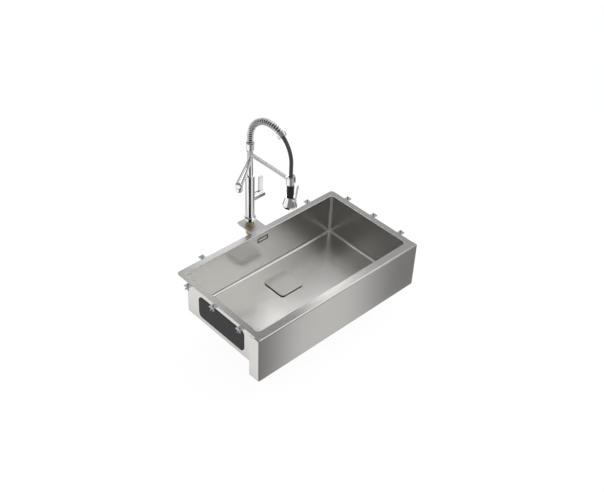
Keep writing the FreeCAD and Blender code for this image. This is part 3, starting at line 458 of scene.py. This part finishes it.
# %% Finish the solids
finish_of = {
    bowl_steel: ["bowl"],
    stainless: ["apron_panel", "apron_stiffeners", "drain_cup", "strainer_basket",
                "overflow_plate", "basket_knob", "clamp_screw"],
    cover_steel: ["cover_plate"],
    polished_chrome: ["tap_base_ring", "tap_body", "lever_cap", "riser_tube", "swivel_spout",
                      "dock_fork", "spring_socket", "arch_spring", "spring_end_ring",
                      "spray_neck", "spray_bell"],
    paddle_chrome: ["lever_paddle"],
    arm_chrome: ["dock_arm", "spray_trigger"],
    plated_zinc: ["mounting_clips", "clip_wing_nuts", "tap_bracket", "bracket_nuts",
                  "tap_clamp_washer"],
    threaded_zinc: ["clip_studs", "bracket_studs"],
    ground: ["lever_pin", "trigger_pin"],
    turned_brass: ["tap_clamp_nut", "cartridge_nut"],
    threaded_brass: ["tap_shank"],
    pad_rubber: ["damping_pad_left", "damping_pad_right", "damping_pads_back",
                 "damping_pads_floor"],
    soft_seal: ["drain_seal", "waste_seal", "stopper_seal", "overflow_seal", "tap_base_seal",
                "cover_feet", "arch_hose", "spray_hose", "spray_grip"],
    # The overflow housing is black so that the gap round the overflow plate reads dark: painted
    # shade.
    black_moulding: ["spray_face", "spout_aerator", "overflow_housing"],
    white_moulding: ["waste_body", "overflow_pipe", "overflow_union_nuts"],
    cartridge_white: ["mixer_cartridge", "slip_washers"],
}
for finish, names in finish_of.items():
    for name in names:
        nodes[name].data.materials.clear()
        nodes[name].data.materials.append(finish)
unfinished = sorted(set(nodes) - {name for names in finish_of.values() for name in names})
print("solids without a finish:", unfinished)

# %% [markdown]
# The spring, the hose, the grip and the pads follow a path or repeat a small form, so Geometry
# Nodes make them from a few sizes. A tree here starts from a plain line, tube or rectangle and
# shapes it by formulas on those sizes. The result is turned into a plain mesh, because moving
# pieces need one.


# %% A shape made by nodes
class Shape(NodeSheet):
    """A Geometry Nodes tree whose sizes are named inputs."""

    def __init__(self, name, sizes):
        group = bpy.data.node_groups.new(name, "GeometryNodeTree")
        self.sizes = sizes
        for label, value in sizes.items():
            kind = "NodeSocketInt" if isinstance(value, int) else "NodeSocketFloat"
            group.interface.new_socket(label, in_out="INPUT", socket_type=kind)
        group.interface.new_socket("Geometry", in_out="OUTPUT",
                                   socket_type="NodeSocketGeometry")
        super().__init__(group)
        self.given = self.node("NodeGroupInput")

    def size(self, label):
        return self.given.out(label)

    def number(self):
        return self.node("GeometryNodeInputIndex")

    def moved(self, geometry, x, y, z):
        return self.node("GeometryNodeSetPosition", None,
                         {"Geometry": geometry, "Position": self.vector(x, y, z)})

    def kept(self, geometry, name, value, kind):
        return self.node("GeometryNodeStoreNamedAttribute",
                         {"data_type": kind, "domain": "POINT"},
                         {"Geometry": geometry, "Name": name, "Value": value})

    def smooth(self, geometry):
        return self.node("GeometryNodeSetShadeSmooth", None, {"Geometry": geometry})

    def tube(self, path, profile):
        return self.smooth(self.node("GeometryNodeCurveToMesh", None,
                                     {"Curve": path, "Profile Curve": profile,
                                      "Fill Caps": True}))

    def close(self, geometry, finish):
        solid = self.node("GeometryNodeRealizeInstances", None, {"Geometry": geometry})
        dressed = self.node("GeometryNodeSetMaterial", None,
                            {"Geometry": solid, "Material": finish})
        self.node("NodeGroupOutput", None, {"Geometry": dressed})


print("shape helper ready")

# %% [markdown]
# A tree alone shows nothing: it needs an object to carry it, and its sizes are set there, socket
# by socket. The carrier is evaluated once, its result is copied to a plain mesh, and the carrier
# is thrown away again.
# That leaves no modifier behind, so what is seen here is a plain mesh.


# %% From a shape to a plain piece
def mesh_of(shape, name):
    holder = bpy.data.objects.new(name + "_maker", bpy.data.meshes.new(name + "_maker"))
    bpy.context.scene.collection.objects.link(holder)
    maker = holder.modifiers.new("maker", "NODES")
    maker.node_group = shape.tree
    for item in shape.tree.interface.items_tree:
        if item.in_out == "INPUT":
            maker[item.identifier] = shape.sizes[item.name]
    graph = bpy.context.evaluated_depsgraph_get()
    mesh = bpy.data.meshes.new_from_object(holder.evaluated_get(graph), depsgraph=graph)
    mesh.name = name
    bpy.data.objects.remove(holder)
    return mesh


def piece_of(mesh):
    piece = bpy.data.objects.new(mesh.name, mesh)
    bpy.context.scene.collection.objects.link(piece)
    return piece


print("piece helper ready")

# %% [markdown]
# Spring and hose follow one path: straight up out of the riser, over the arch, and straight down
# into the spray head. A point a given length along it lies on the first straight, on the half
# circle or on the last straight.
# The spring's wire turns round that path at a steady radius, which is zero for the hose.

# %% The arch
arch_radius = 0.110
arch_height = 0.3899
riser_top = 0.3509
neck_height = 0.3225
rise = arch_height - riser_top
half_circle = math.pi * arch_radius
path_length = rise + half_circle + arch_height - neck_height


def along_arch(shape, points, length, off_axis=0.0, turn_angle=0.0):
    up_first = shape.maths("MINIMUM", length, rise)
    past_rise = shape.maths("MAXIMUM", length - rise, 0.0)
    bend = shape.maths("MINIMUM", past_rise, half_circle) / arch_radius
    down_last = shape.maths("MAXIMUM", length - (rise + half_circle), 0.0)
    reach = arch_radius - off_axis * shape.maths("COSINE", turn_angle)
    x = off_axis * shape.maths("SINE", turn_angle)
    y = (tap_line - arch_radius) + reach * shape.maths("COSINE", bend)
    z = riser_top + up_first + reach * shape.maths("SINE", bend) - down_last
    return shape.moved(points, x, y, z)


print("path:", round(path_length, 4), "m")

# %% [markdown]
# The spring is drawn steel wire with a thin bright plate, so it is paler and less of a mirror than
# the tap's body. The marks of drawing are too small to see one by one, so a fine even noise stands
# for them and blurs what the wire mirrors.


# %% Spring wire finish
def bright_wire():
    wire = Finish("bright_wire")
    drawn = wire.noise(scale=900.0, detail=3.0)
    colour = wire.mixed(drawn, tone(0.80, 0.805, 0.81), tone(0.90, 0.905, 0.91))
    return wire.close(Base_Color=colour, Metallic=0.72, Roughness=0.10 + drawn * 0.10)


plated_wire = bright_wire()
print("finish:", plated_wire.name)

# %% [markdown]
# The spring is one wound wire of 3.4 mm with open turns, so that the black hose shows between
# them. It could be an array of rings, but a real spring is one helix, which climbs as it turns.
# A small circle is swept along the points of that helix and gives the wire, with both cut ends
# closed. The points lie so close that the wire shows no corners.

# %% Arch spring
wire_radius = 0.0017
coil_radius = 0.0115
coil_pitch = 0.0098
spring_sweep = math.radians(118)
spring_end = rise + spring_sweep * arch_radius
points_per_turn = 28
wire_sides = 12


def arch_spring():
    first, last = wire_radius, spring_end
    turns = (last - first) / coil_pitch
    count = int(turns * points_per_turn)
    sizes = {"Points": count, "Coil radius": coil_radius, "Wire radius": wire_radius,
             "Start": first, "Step": (last - first) / (count - 1), "Pitch": coil_pitch}
    spring = Shape("spring_shape", sizes)
    points = spring.node("GeometryNodeMeshLine", None, {"Count": spring.size("Points")})
    length = spring.number() * spring.size("Step")
    turn_angle = length * (2 * math.pi) / spring.size("Pitch")
    wound = along_arch(spring, points, length + spring.size("Start"),
                       spring.size("Coil radius"), turn_angle)
    path = spring.node("GeometryNodeMeshToCurve", None, {"Mesh": wound})
    section = spring.node("GeometryNodeCurvePrimitiveCircle", None,
                          {"Resolution": wire_sides, "Radius": spring.size("Wire radius")})
    spring.close(spring.tube(path, section), plated_wire)
    return piece_of(mesh_of(spring, "wound_spring")), turns


wound_spring, turns = arch_spring()
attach(wound_spring, "spray_arm")
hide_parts("arch_spring")
print("spring turns:", round(turns, 1), "faces:", len(wound_spring.data.polygons))

# %% [markdown]
# The hose is 14 mm thick, rubber under a fine black braid.
# The braid's two lays cross at an angle, and they follow the hose, not the room. So each point of
# the tube keeps how far along the hose it lies, and where round it, and the finish reads both.
# One lay is a wave that climbs to the right and the other to the left, and their product is the
# weave.

# %% Braided hose finish
braid_strands = 16
braid_climb = 2600


def braided_black():
    braid = Finish("braided_black")
    along = braid.node("ShaderNodeAttribute", {"attribute_name": "hose_along"}).out("Fac")
    round_it = braid.node("ShaderNodeAttribute", {"attribute_name": "hose_round"}).out("Vector")
    place = braid.parts(round_it)
    angle = braid.maths("ARCTAN2", place.out("Y"), place.out("X"))
    one_way = braid.maths("SINE", angle * braid_strands + along * braid_climb)
    other_way = braid.maths("SINE", angle * braid_strands - along * braid_climb)
    weave = one_way * other_way * 0.5 + 0.5
    worn = braid.noise(scale=60.0, detail=3.0)
    colour = braid.mixed(weave, tone(0.024, 0.024, 0.025), tone(0.086, 0.086, 0.089))
    return braid.close(Base_Color=colour, Metallic=0.0, Roughness=0.42 + worn * 0.16,
                       Normal=braid.relief(weave, depth=0.00012, strength=0.5))


black_braid = braided_black()
print("finish:", black_braid.name)

# %% [markdown]
# A stretch of hose is a circle swept along part of the path.
# It could be a curve with a bevel, but nodes also let it keep the two marks that the braid reads:
# the length is kept on the path, and the place round it on the circle.

# %% A stretch of hose
hose_radius = 0.0070
hose_step = 0.0025
hose_sides = 40
fewest_points = 12


def hose_stretch(name, first, last):
    count = max(fewest_points, int((last - first) / hose_step))
    hose = Shape(name + "_shape", {"Points": count, "Radius": hose_radius, "Start": first,
                                   "Step": (last - first) / (count - 1)})
    points = hose.node("GeometryNodeMeshLine", None, {"Count": hose.size("Points")})
    length = hose.number() * hose.size("Step") + hose.size("Start")
    marked = hose.kept(points, "hose_along", length, "FLOAT")
    laid = along_arch(hose, marked, length)
    path = hose.node("GeometryNodeMeshToCurve", None, {"Mesh": laid})
    section = hose.node("GeometryNodeCurvePrimitiveCircle", None,
                        {"Resolution": hose_sides, "Radius": hose.size("Radius")})
    place = hose.node("GeometryNodeInputPosition")
    section = hose.kept(section, "hose_round", place, "FLOAT_VECTOR")
    hose.close(hose.tube(path, section), black_braid)
    return piece_of(mesh_of(hose, name))


print("hose helper ready")

# %% [markdown]
# One hose runs from the riser through the spring and its end ring and on, in the open, to the
# spray head. The stretch inside the spring is held by it, but the open stretch bends when the head
# is pulled down out of its fork.
# So they are two pieces: the first rides with the arm, and the second is a plain piece on its
# own. The points a little after the ring and a little before the neck are worked out, but nothing
# uses them.

# %% Hose
hose_start = 0.0003
half_ring = 0.0075
held_at_ring, held_at_neck = 0.008, 0.02
leaves_ring = spring_end + half_ring


def on_arch(length):
    bend = min(max(length - rise, 0), half_circle) / arch_radius
    down = max(length - rise - half_circle, 0)
    return Vector((0, tap_line - arch_radius + arch_radius * math.cos(bend),
                   riser_top + min(length, rise) + arch_radius * math.sin(bend) - down))


hidden_hose = hose_stretch("hose_in_spring", hose_start, leaves_ring)
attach(hidden_hose, "spray_arm")
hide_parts("arch_hose")
free_hose = hose_stretch("free_hose", leaves_ring, path_length)
on_arch(leaves_ring + held_at_ring)
on_arch(path_length - held_at_neck)
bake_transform(free_hose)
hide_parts("spray_hose")
print("hose faces:", len(hidden_hose.data.polygons), len(free_hose.data.polygons))

# %% [markdown]
# The grip is a rubber sleeve with soft rings for wet fingers.
# Each ring could be a piece of its own, but a plain tube of fine rows is enough: a formula on the
# height draws in the rings and rounds the two ends. The rings stop short of both ends.

# %% Grip
head_line = tap_line - 2 * arch_radius
ring_depth, ring_pitch = 0.0007, 0.006
rings_to, plain_from = 0.0205, 0.0215
end_round, end_draw = 0.0016, 0.0010
grip_sides, grip_rows = 72, 180


def rubber_grip(low, high, radius):
    sizes = {"Low": low, "Length": high - low, "Radius": radius,
             "Ring depth": ring_depth, "Ring pitch": ring_pitch}
    grip = Shape("grip_shape", sizes)
    tube = grip.node("GeometryNodeMeshCylinder", None,
                     {"Vertices": grip_sides, "Side Segments": grip_rows, "Fill Segments": 1,
                      "Radius": 1.0, "Depth": 1.0})
    where = grip.parts(grip.node("GeometryNodeInputPosition"))
    share = where.out("Z") + 0.5
    off_middle = grip.maths("ABSOLUTE", share - 0.5) * grip.size("Length")
    wave = grip.maths("COSINE", off_middle * (2 * math.pi) / grip.size("Ring pitch")) * 0.5 + 0.5
    ringed = grip.eased(off_middle, rings_to, plain_from, top=0.0, foot=1.0)
    groove = grip.maths("POWER", wave, 2.0) * ringed * grip.size("Ring depth")
    end_gap = grip.size("Length") * 0.5 - off_middle
    near_end = 1 - grip.maths("MINIMUM", end_gap / end_round, 1.0)
    rounding = grip.maths("POWER", near_end, 2.0) * end_draw
    width = grip.size("Radius") - groove - rounding
    shaped = grip.moved(tube, where.out("X") * width, where.out("Y") * width + head_line,
                        grip.size("Low") + share * grip.size("Length"))
    grip.close(grip.smooth(shaped), grip_rubber)
    return piece_of(mesh_of(grip, "rubber_grip"))


low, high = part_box("spray_grip")
grip_piece = rubber_grip(low.z, high.z, (high.x - low.x) / 2)
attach(grip_piece, "spray_head")
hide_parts("spray_grip")
print("grip faces:", len(grip_piece.data.polygons))

# %% [markdown]
# Damping pads are thick rubber sheets stuck to the outside of the bowl, which would ring like a
# bell without them. Each is a rounded rectangle, thickened, with low moulded buttons in rows on
# its free side.
# The slab is a filled outline pushed out, and the buttons are one flat cone placed on a grid of
# points.

# %% Rubber slab and buttons
button_height = 0.0004
button_top, button_foot = 0.0030, 0.0042
button_pitch = 0.013
button_sides = 10
pad_margin = 0.01
pad_corner = 0.018
corner_points = 10


def rubber_slab(pad):
    outline = pad.node("GeometryNodeCurvePrimitiveQuadrilateral", None,
                       {"Width": pad.size("Width"), "Height": pad.size("Height")})
    rounded = pad.node("GeometryNodeFilletCurve", {"mode": "POLY"},
                       {"Curve": outline, "Count": corner_points, "Radius": pad.size("Corner")})
    sheet = pad.node("GeometryNodeFillCurve", {"mode": "NGONS"}, {"Curve": rounded})
    slab = pad.node("GeometryNodeExtrudeMesh", None,
                    {"Mesh": sheet, "Offset Scale": pad.size("Thickness"), "Individual": False})
    back = pad.node("GeometryNodeFlipFaces", None, {"Mesh": sheet})
    return back, slab


def button_rows(pad):
    pitch = pad.size("Pitch")
    across = pad.maths("FLOOR", (pad.size("Width") - 2 * pad_margin) / pitch)
    upright = pad.maths("FLOOR", (pad.size("Height") - 2 * pad_margin) / pitch)
    rows = pad.node("GeometryNodeMeshGrid", None,
                    {"Size X": (across - 1) * pitch, "Size Y": (upright - 1) * pitch,
                     "Vertices X": across, "Vertices Y": upright})
    button = pad.node("GeometryNodeMeshCone", None,
                      {"Vertices": button_sides, "Radius Top": button_top,
                       "Radius Bottom": button_foot, "Depth": button_height})
    placed = pad.node("GeometryNodeInstanceOnPoints", None, {"Points": rows, "Instance": button})
    lifted = pad.vector(0.0, 0.0, pad.size("Thickness"))
    return pad.node("GeometryNodeTransform", None, {"Geometry": placed, "Translation": lifted})


def damping_pad(name, width, height, thickness):
    sizes = {"Width": width, "Height": height, "Corner": pad_corner,
             "Thickness": thickness - button_height, "Pitch": button_pitch}
    pad = Shape(name + "_shape", sizes)
    buttons = button_rows(pad)
    joined = pad.node("GeometryNodeJoinGeometry")
    for part in (buttons, *rubber_slab(pad)):
        pad.tree.links.new(part.socket, joined.socket.node.inputs[0])
    pad.close(joined, pad_rubber)
    return mesh_of(pad, name)


print("pad helper ready")

# %% [markdown]
# A pad is drawn flat, face up, and then stood against the wall that carries it.
# The solid of each pad already has the right place and size, so both are measured from its box.
# Where one solid stands for a pair, both pads are copies of one mesh, set apart by their spacing.

# %% Damping pads
pad_spacing = 0.42
alone, pair = [0.0], [0.0, pad_spacing]


def stuck_on(name, node, outward, upward_axis, places):
    low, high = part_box(node)
    size = high - low
    middle = (low + high) / 2
    outward, upward_axis = Vector(outward), Vector(upward_axis)
    across_axis = upward_axis.cross(outward)
    full = abs(size.dot(across_axis))
    spread = places[-1] - places[0]
    thick = abs(size.dot(outward))
    mesh = damping_pad(name, full - spread, abs(size.dot(upward_axis)), thick)
    turned = Matrix((across_axis, upward_axis, outward)).transposed().to_4x4()
    pads = []
    for k, place in enumerate(places):
        copy = mesh.copy() if len(places) > 1 else mesh
        aside = across_axis * (place - sum(places) / len(places))
        spot = middle + aside - outward * (thick / 2)
        copy.transform(Matrix.Translation(spot) @ turned)
        if len(places) > 1:
            copy.name = f"{name}_{k + 1}"
        pad = piece_of(copy)
        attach(pad, "sink")
        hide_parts(node)
        pads.append(pad)
    return pads


pads = stuck_on("pad_left", "damping_pad_left", (-1, 0, 0), (0, 0, 1), alone)
pads += stuck_on("pad_right", "damping_pad_right", (1, 0, 0), (0, 0, 1), alone)
pads += stuck_on("pad_back", "damping_pads_back", (0, 1, 0), (0, 0, 1), pair)
pads += stuck_on("pad_floor", "damping_pads_floor", (0, 0, -1), (0, 1, 0), pair)
print("pads:", len(pads), "faces:", sum(len(pad.data.polygons) for pad in pads))

# %% [markdown]
# The picture is taken from the front left and above, with a fairly long lens, and the camera leans
# by a few degrees. A helper that aims a camera keeps it upright, so this one is built from its
# three axes instead. Its focal length is known in pixels, and the sensor's width turns that into
# the millimetres of a lens.

# %% Camera
camera_place = (-1.89585, -1.93686, 2.25738)
turn, dip, lean = math.radians(44.630), math.radians(39.073), math.radians(2.599)
focal_pixels, picture_width, sensor_width = 950.11, 604, 36.0
forward = Vector((math.sin(turn) * math.cos(dip), math.cos(turn) * math.cos(dip),
                  -math.sin(dip)))
level = Vector((math.cos(turn), -math.sin(turn), 0))
upward = level.cross(forward)
rightward = level * math.cos(lean) + upward * math.sin(lean)
upward = upward * math.cos(lean) - level * math.sin(lean)
camera = bpy.data.objects.new("camera", bpy.data.cameras.new("camera"))
camera.data.sensor_fit = "HORIZONTAL"
camera.data.sensor_width = sensor_width
camera.data.lens = focal_pixels * sensor_width / picture_width
camera.data.clip_end = 100.0
axes = Matrix((rightward, upward, -forward)).transposed().to_4x4()
camera.matrix_world = Matrix.Translation(camera_place) @ axes
bpy.context.scene.collection.objects.link(camera)
bpy.context.scene.camera = camera
bpy.context.scene.view_settings.view_transform = "Standard"
print("lens:", round(camera.data.lens, 2), "mm")

# %% [markdown]
# Steel shows what stands around it, so the light is mostly large and soft.
# The room is white where it is seen directly. In a mirror its walls are darker and fall off
# towards the back left, as in a studio with one bright side. The satin walls of the bowl then go
# from light to dark instead of turning into one flat grey.
# A glow grows with how far a ray points one way: to the right, to the camera's side, or up to the
# front right.

# %% Room
white = tone(1, 1, 1)
plain_light, darkest_wall = 0.75, 0.16


def seen_and_mirrored(sheet):
    path = sheet.node("ShaderNodeLightPath")
    mirrored = sheet.maths("MAXIMUM", path.out("Is Glossy Ray"), path.out("Is Transmission Ray"))
    return path.out("Is Camera Ray"), mirrored


def studio_room():
    world = bpy.data.worlds.new("studio")
    bpy.context.scene.world = world
    world.use_nodes = True
    room = NodeSheet(world.node_tree)
    way = room.parts(room.node("ShaderNodeTexCoord").out("Generated"))
    side = way.out("X") * 0.95 + way.out("Y") * 0.30
    behind = (way.out("X") + way.out("Y")) * -0.707
    raised = way.out("X") * 0.60 - way.out("Y") * 0.50 + way.out("Z") * 0.62
    walls = darkest_wall + room.eased(side, start=-0.55, end=0.75, top=0.26)
    walls = walls + room.eased(behind, start=0.35, end=0.75, top=0.13)
    walls = walls + room.eased(raised, start=0.70, end=0.95, top=0.10)
    seen, mirrored = seen_and_mirrored(room)
    plain, around, shown = [room.node("ShaderNodeBackground", None,
                                      {"Color": white, "Strength": strength})
                            for strength in (plain_light, walls, 1.0)]
    lit = room.node("ShaderNodeMixShader", None, {0: mirrored, 1: plain, 2: around})
    every = room.node("ShaderNodeMixShader", None, {0: seen, 1: lit, 2: shown})
    room.node("ShaderNodeOutputWorld", None, {"Surface": every})


studio_room()
print("room ready")

# %% [markdown]
# The sink stands on pale paper, which is white to the eye and still takes a faint soft shadow.
# Plain white paper would wash the apron out, since the apron mirrors the paper in front of it from
# end to end. So where the paper is seen in a mirror, it darkens towards both ends of the apron, as
# a studio does with black cards. The apron is seen at a slant, so the ends of that shade lie at a
# slant too.
# Beside the sink the paper is brighter instead, because the narrow return at the apron's left end
# mirrors only that.

# %% Floor
paper_half = 30.0
apron_front = 0.237
sight_slant = 0.985
seen_gain, mirror_loss = 0.06, 0.16
seen_share, mirrored_share = 0.88, 0.7
floor_gap = 0.001
floor_level = cad_box[0][2] - floor_gap


def stage_sheet(name, corners):
    mesh = bpy.data.meshes.new(name)
    mesh.from_pydata([tuple(corner) for corner in corners], [], [tuple(range(len(corners)))])
    paint = Finish(name)
    mesh.materials.append(paint.material)
    sheet = piece_of(mesh)
    return sheet, paint


def pale_floor(half, level_z):
    corners = [(x * half, y * half, level_z) for x, y in ((-1, -1), (1, -1), (1, 1), (-1, 1))]
    floor, paper = stage_sheet("floor", corners)
    spot = paper.parts(paper.place)
    seen, mirrored = seen_and_mirrored(paper)
    ahead = paper.eased(spot.out("Y"), start=-0.20, end=-0.34, top=1.0)
    along_apron = spot.out("X") + (spot.out("Y") + apron_front) * sight_slant
    right_end = paper.eased(along_apron, start=-0.02, end=0.38, top=0.78)
    left_end = paper.eased(along_apron, start=-0.17, end=-0.45, top=0.75)
    beside = paper.eased(spot.out("X"), start=-0.41, end=-0.50, top=0.50) * (1 - ahead)
    shade = mirror_loss + (right_end + left_end) * ahead - beside
    glow = 1 + seen * seen_gain - mirrored * shade
    dull = paper.node("ShaderNodeBsdfDiffuse", None, {"Color": tone(0.82, 0.82, 0.82)})
    bright = paper.node("ShaderNodeEmission", None, {"Color": white, "Strength": glow})
    glowing = seen * seen_share + mirrored * mirrored_share
    both = paper.node("ShaderNodeMixShader", None, {0: glowing, 1: dull, 2: bright})
    paper.node("ShaderNodeOutputMaterial", None, {"Surface": both})
    return floor


floor = pale_floor(paper_half, floor_level)
print("stage:", floor.name, "at", round(floor_level, 4))

# %% [markdown]
# The main light is one large soft lamp at the front right.
# The others are level panels behind and above the sink, and they are there to be mirrored. The
# lower ones hang where a certain sheet shows them, such as the ledge or the floor of the bowl. To
# find such a place, the line of sight is followed from the camera to the sheet and on, as a mirror
# would send it. The two large ones overhead are for the back wall and for the round bends.


# %% Lamps
def soft_lamp(name, place, target, width, length, power):
    lamp = bpy.data.lights.new(name, "AREA")
    lamp.shape = "RECTANGLE"
    lamp.size, lamp.size_y = width, length
    lamp.energy = power
    made = bpy.data.objects.new(name, lamp)
    made.location = place
    made.rotation_euler = (Vector(target) - Vector(place)).to_track_quat("-Z", "Y").to_euler()
    bpy.context.scene.collection.objects.link(made)
    return made


lamps = [soft_lamp("front_right", (0.62, -1.05, 1.1), (0, 0.1, -0.1), width=1.0, length=0.8,
                   power=3.3)]
panels = [
    ("ledge_strip", (0.78, 0.58, 0.92), (0.29, 0.16), 0.54),
    ("back_panel", (0.52, 1.09, 0.92), (0.46, 0.22), 0.45),
    ("floor_patch", (0.57, 0.73, 0.92), (0.16, 0.10), 0.33),
    ("back_fill", (1.05, 0.98, 0.92), (0.58, 0.46), 0.08),
    ("back_left", (-0.50, 0.97, 0.92), (0.34, 0.34), 0.25),
    ("overhead_right", (1.25, 0.05, 1.7), (0.8, 1.1), 3.0),
    ("overhead_back", (0.05, 1.25, 1.7), (1.0, 0.5), 1.7),
]
for name, (x, y, z), (width, length), power in panels:
    lamps.append(soft_lamp(name, (x, y, z), (x, y, 0), width, length, power))
print("lamps:", [lamp.name for lamp in lamps])

# %% [markdown]
# A polished column that is seen from above mirrors only what lies around its foot, in a fan about
# its own axis. So cards lie there: a black one towards the camera draws the dark line that makes a
# tube look round, and a white one beside it keeps the rest bright. A grey one behind draws the
# column's left edge against the white room. These three face up, so the bowl below doesn't see
# them.
# A fourth hangs face down at the height of the lamps, where the left end of the sink's front ledge
# mirrors it. It ends next to the lamp that the middle of the ledge mirrors, so the ledge goes from
# dark to bright in one step.
# All four show in mirrors only, and the camera itself never sees them.

# %% Cards for steel and chrome
card_level = 0.021
card_reach = 0.50
edge_from, edge_to = math.radians(-180), math.radians(-110)
line_from, line_to, bright_to = math.radians(-15), math.radians(23), math.radians(82)


def around_tap(angle, reach):
    towards_camera = -Vector((forward.x, forward.y, 0)).normalized()
    way = towards_camera * math.cos(angle) + level * math.sin(angle)
    return Vector((0, tap_line, card_level)) + way * reach


def studio_card(name, corners, glow):
    card, paint = stage_sheet(name, corners)
    behind = paint.node("ShaderNodeNewGeometry").out("Backfacing")
    face = paint.node("ShaderNodeEmission", None, {"Color": white, "Strength": glow})
    clear = paint.node("ShaderNodeBsdfTransparent")
    one_sided = paint.node("ShaderNodeMixShader", None, {0: behind, 1: face, 2: clear})
    paint.node("ShaderNodeOutputMaterial", None, {"Surface": one_sided})
    for rays in ("camera", "diffuse", "shadow", "transmission"):
        setattr(card, "visible_" + rays, False)
    return card


def fan_card(name, start, end, glow):
    corners = [around_tap(0, 0), around_tap(start, card_reach), around_tap(end, card_reach)]
    return studio_card(name, corners, glow)


def hung_card(name, low, high, height, glow):
    (left, front), (right, back) = low, high
    corners = [(x, y, height)
               for x, y in ((left, front), (left, back), (right, back), (right, front))]
    return studio_card(name, corners, glow)


cards = [
    fan_card("grey_card", edge_from, edge_to, glow=0.12),
    fan_card("black_card", line_from, line_to, glow=0.0),
    fan_card("white_card", line_to, bright_to, glow=0.82),
    hung_card("ledge_card", low=(0.08, 0.34), high=(0.60, 0.60), height=0.93, glow=0.16),
]
print("cards:", [card.name for card in cards])

# %% [markdown]
# The lever's flat paddle mirrors a spot to the right of these cards.
# A card there would show in the column too, so a small lamp lies there instead, facing up. It is
# linked to the paddle through a collection, and so it lights nothing else.


# %% Lamp for the paddle
def paddle_lamp(x, y, power):
    lamp = soft_lamp("paddle_lamp", (x, y, card_level), (x, y, 1.0), width=0.10, length=0.14,
                     power=power)
    lamp.visible_camera = False
    lit = bpy.data.collections.new("lit_by_paddle_lamp")
    lit.objects.link(nodes["lever_paddle"])
    lamp.light_linking.receiver_collection = lit
    return lamp


lamps.append(paddle_lamp(0.19, 0.13, power=0.048))
print("lamps:", len(lamps))

# %% [markdown]
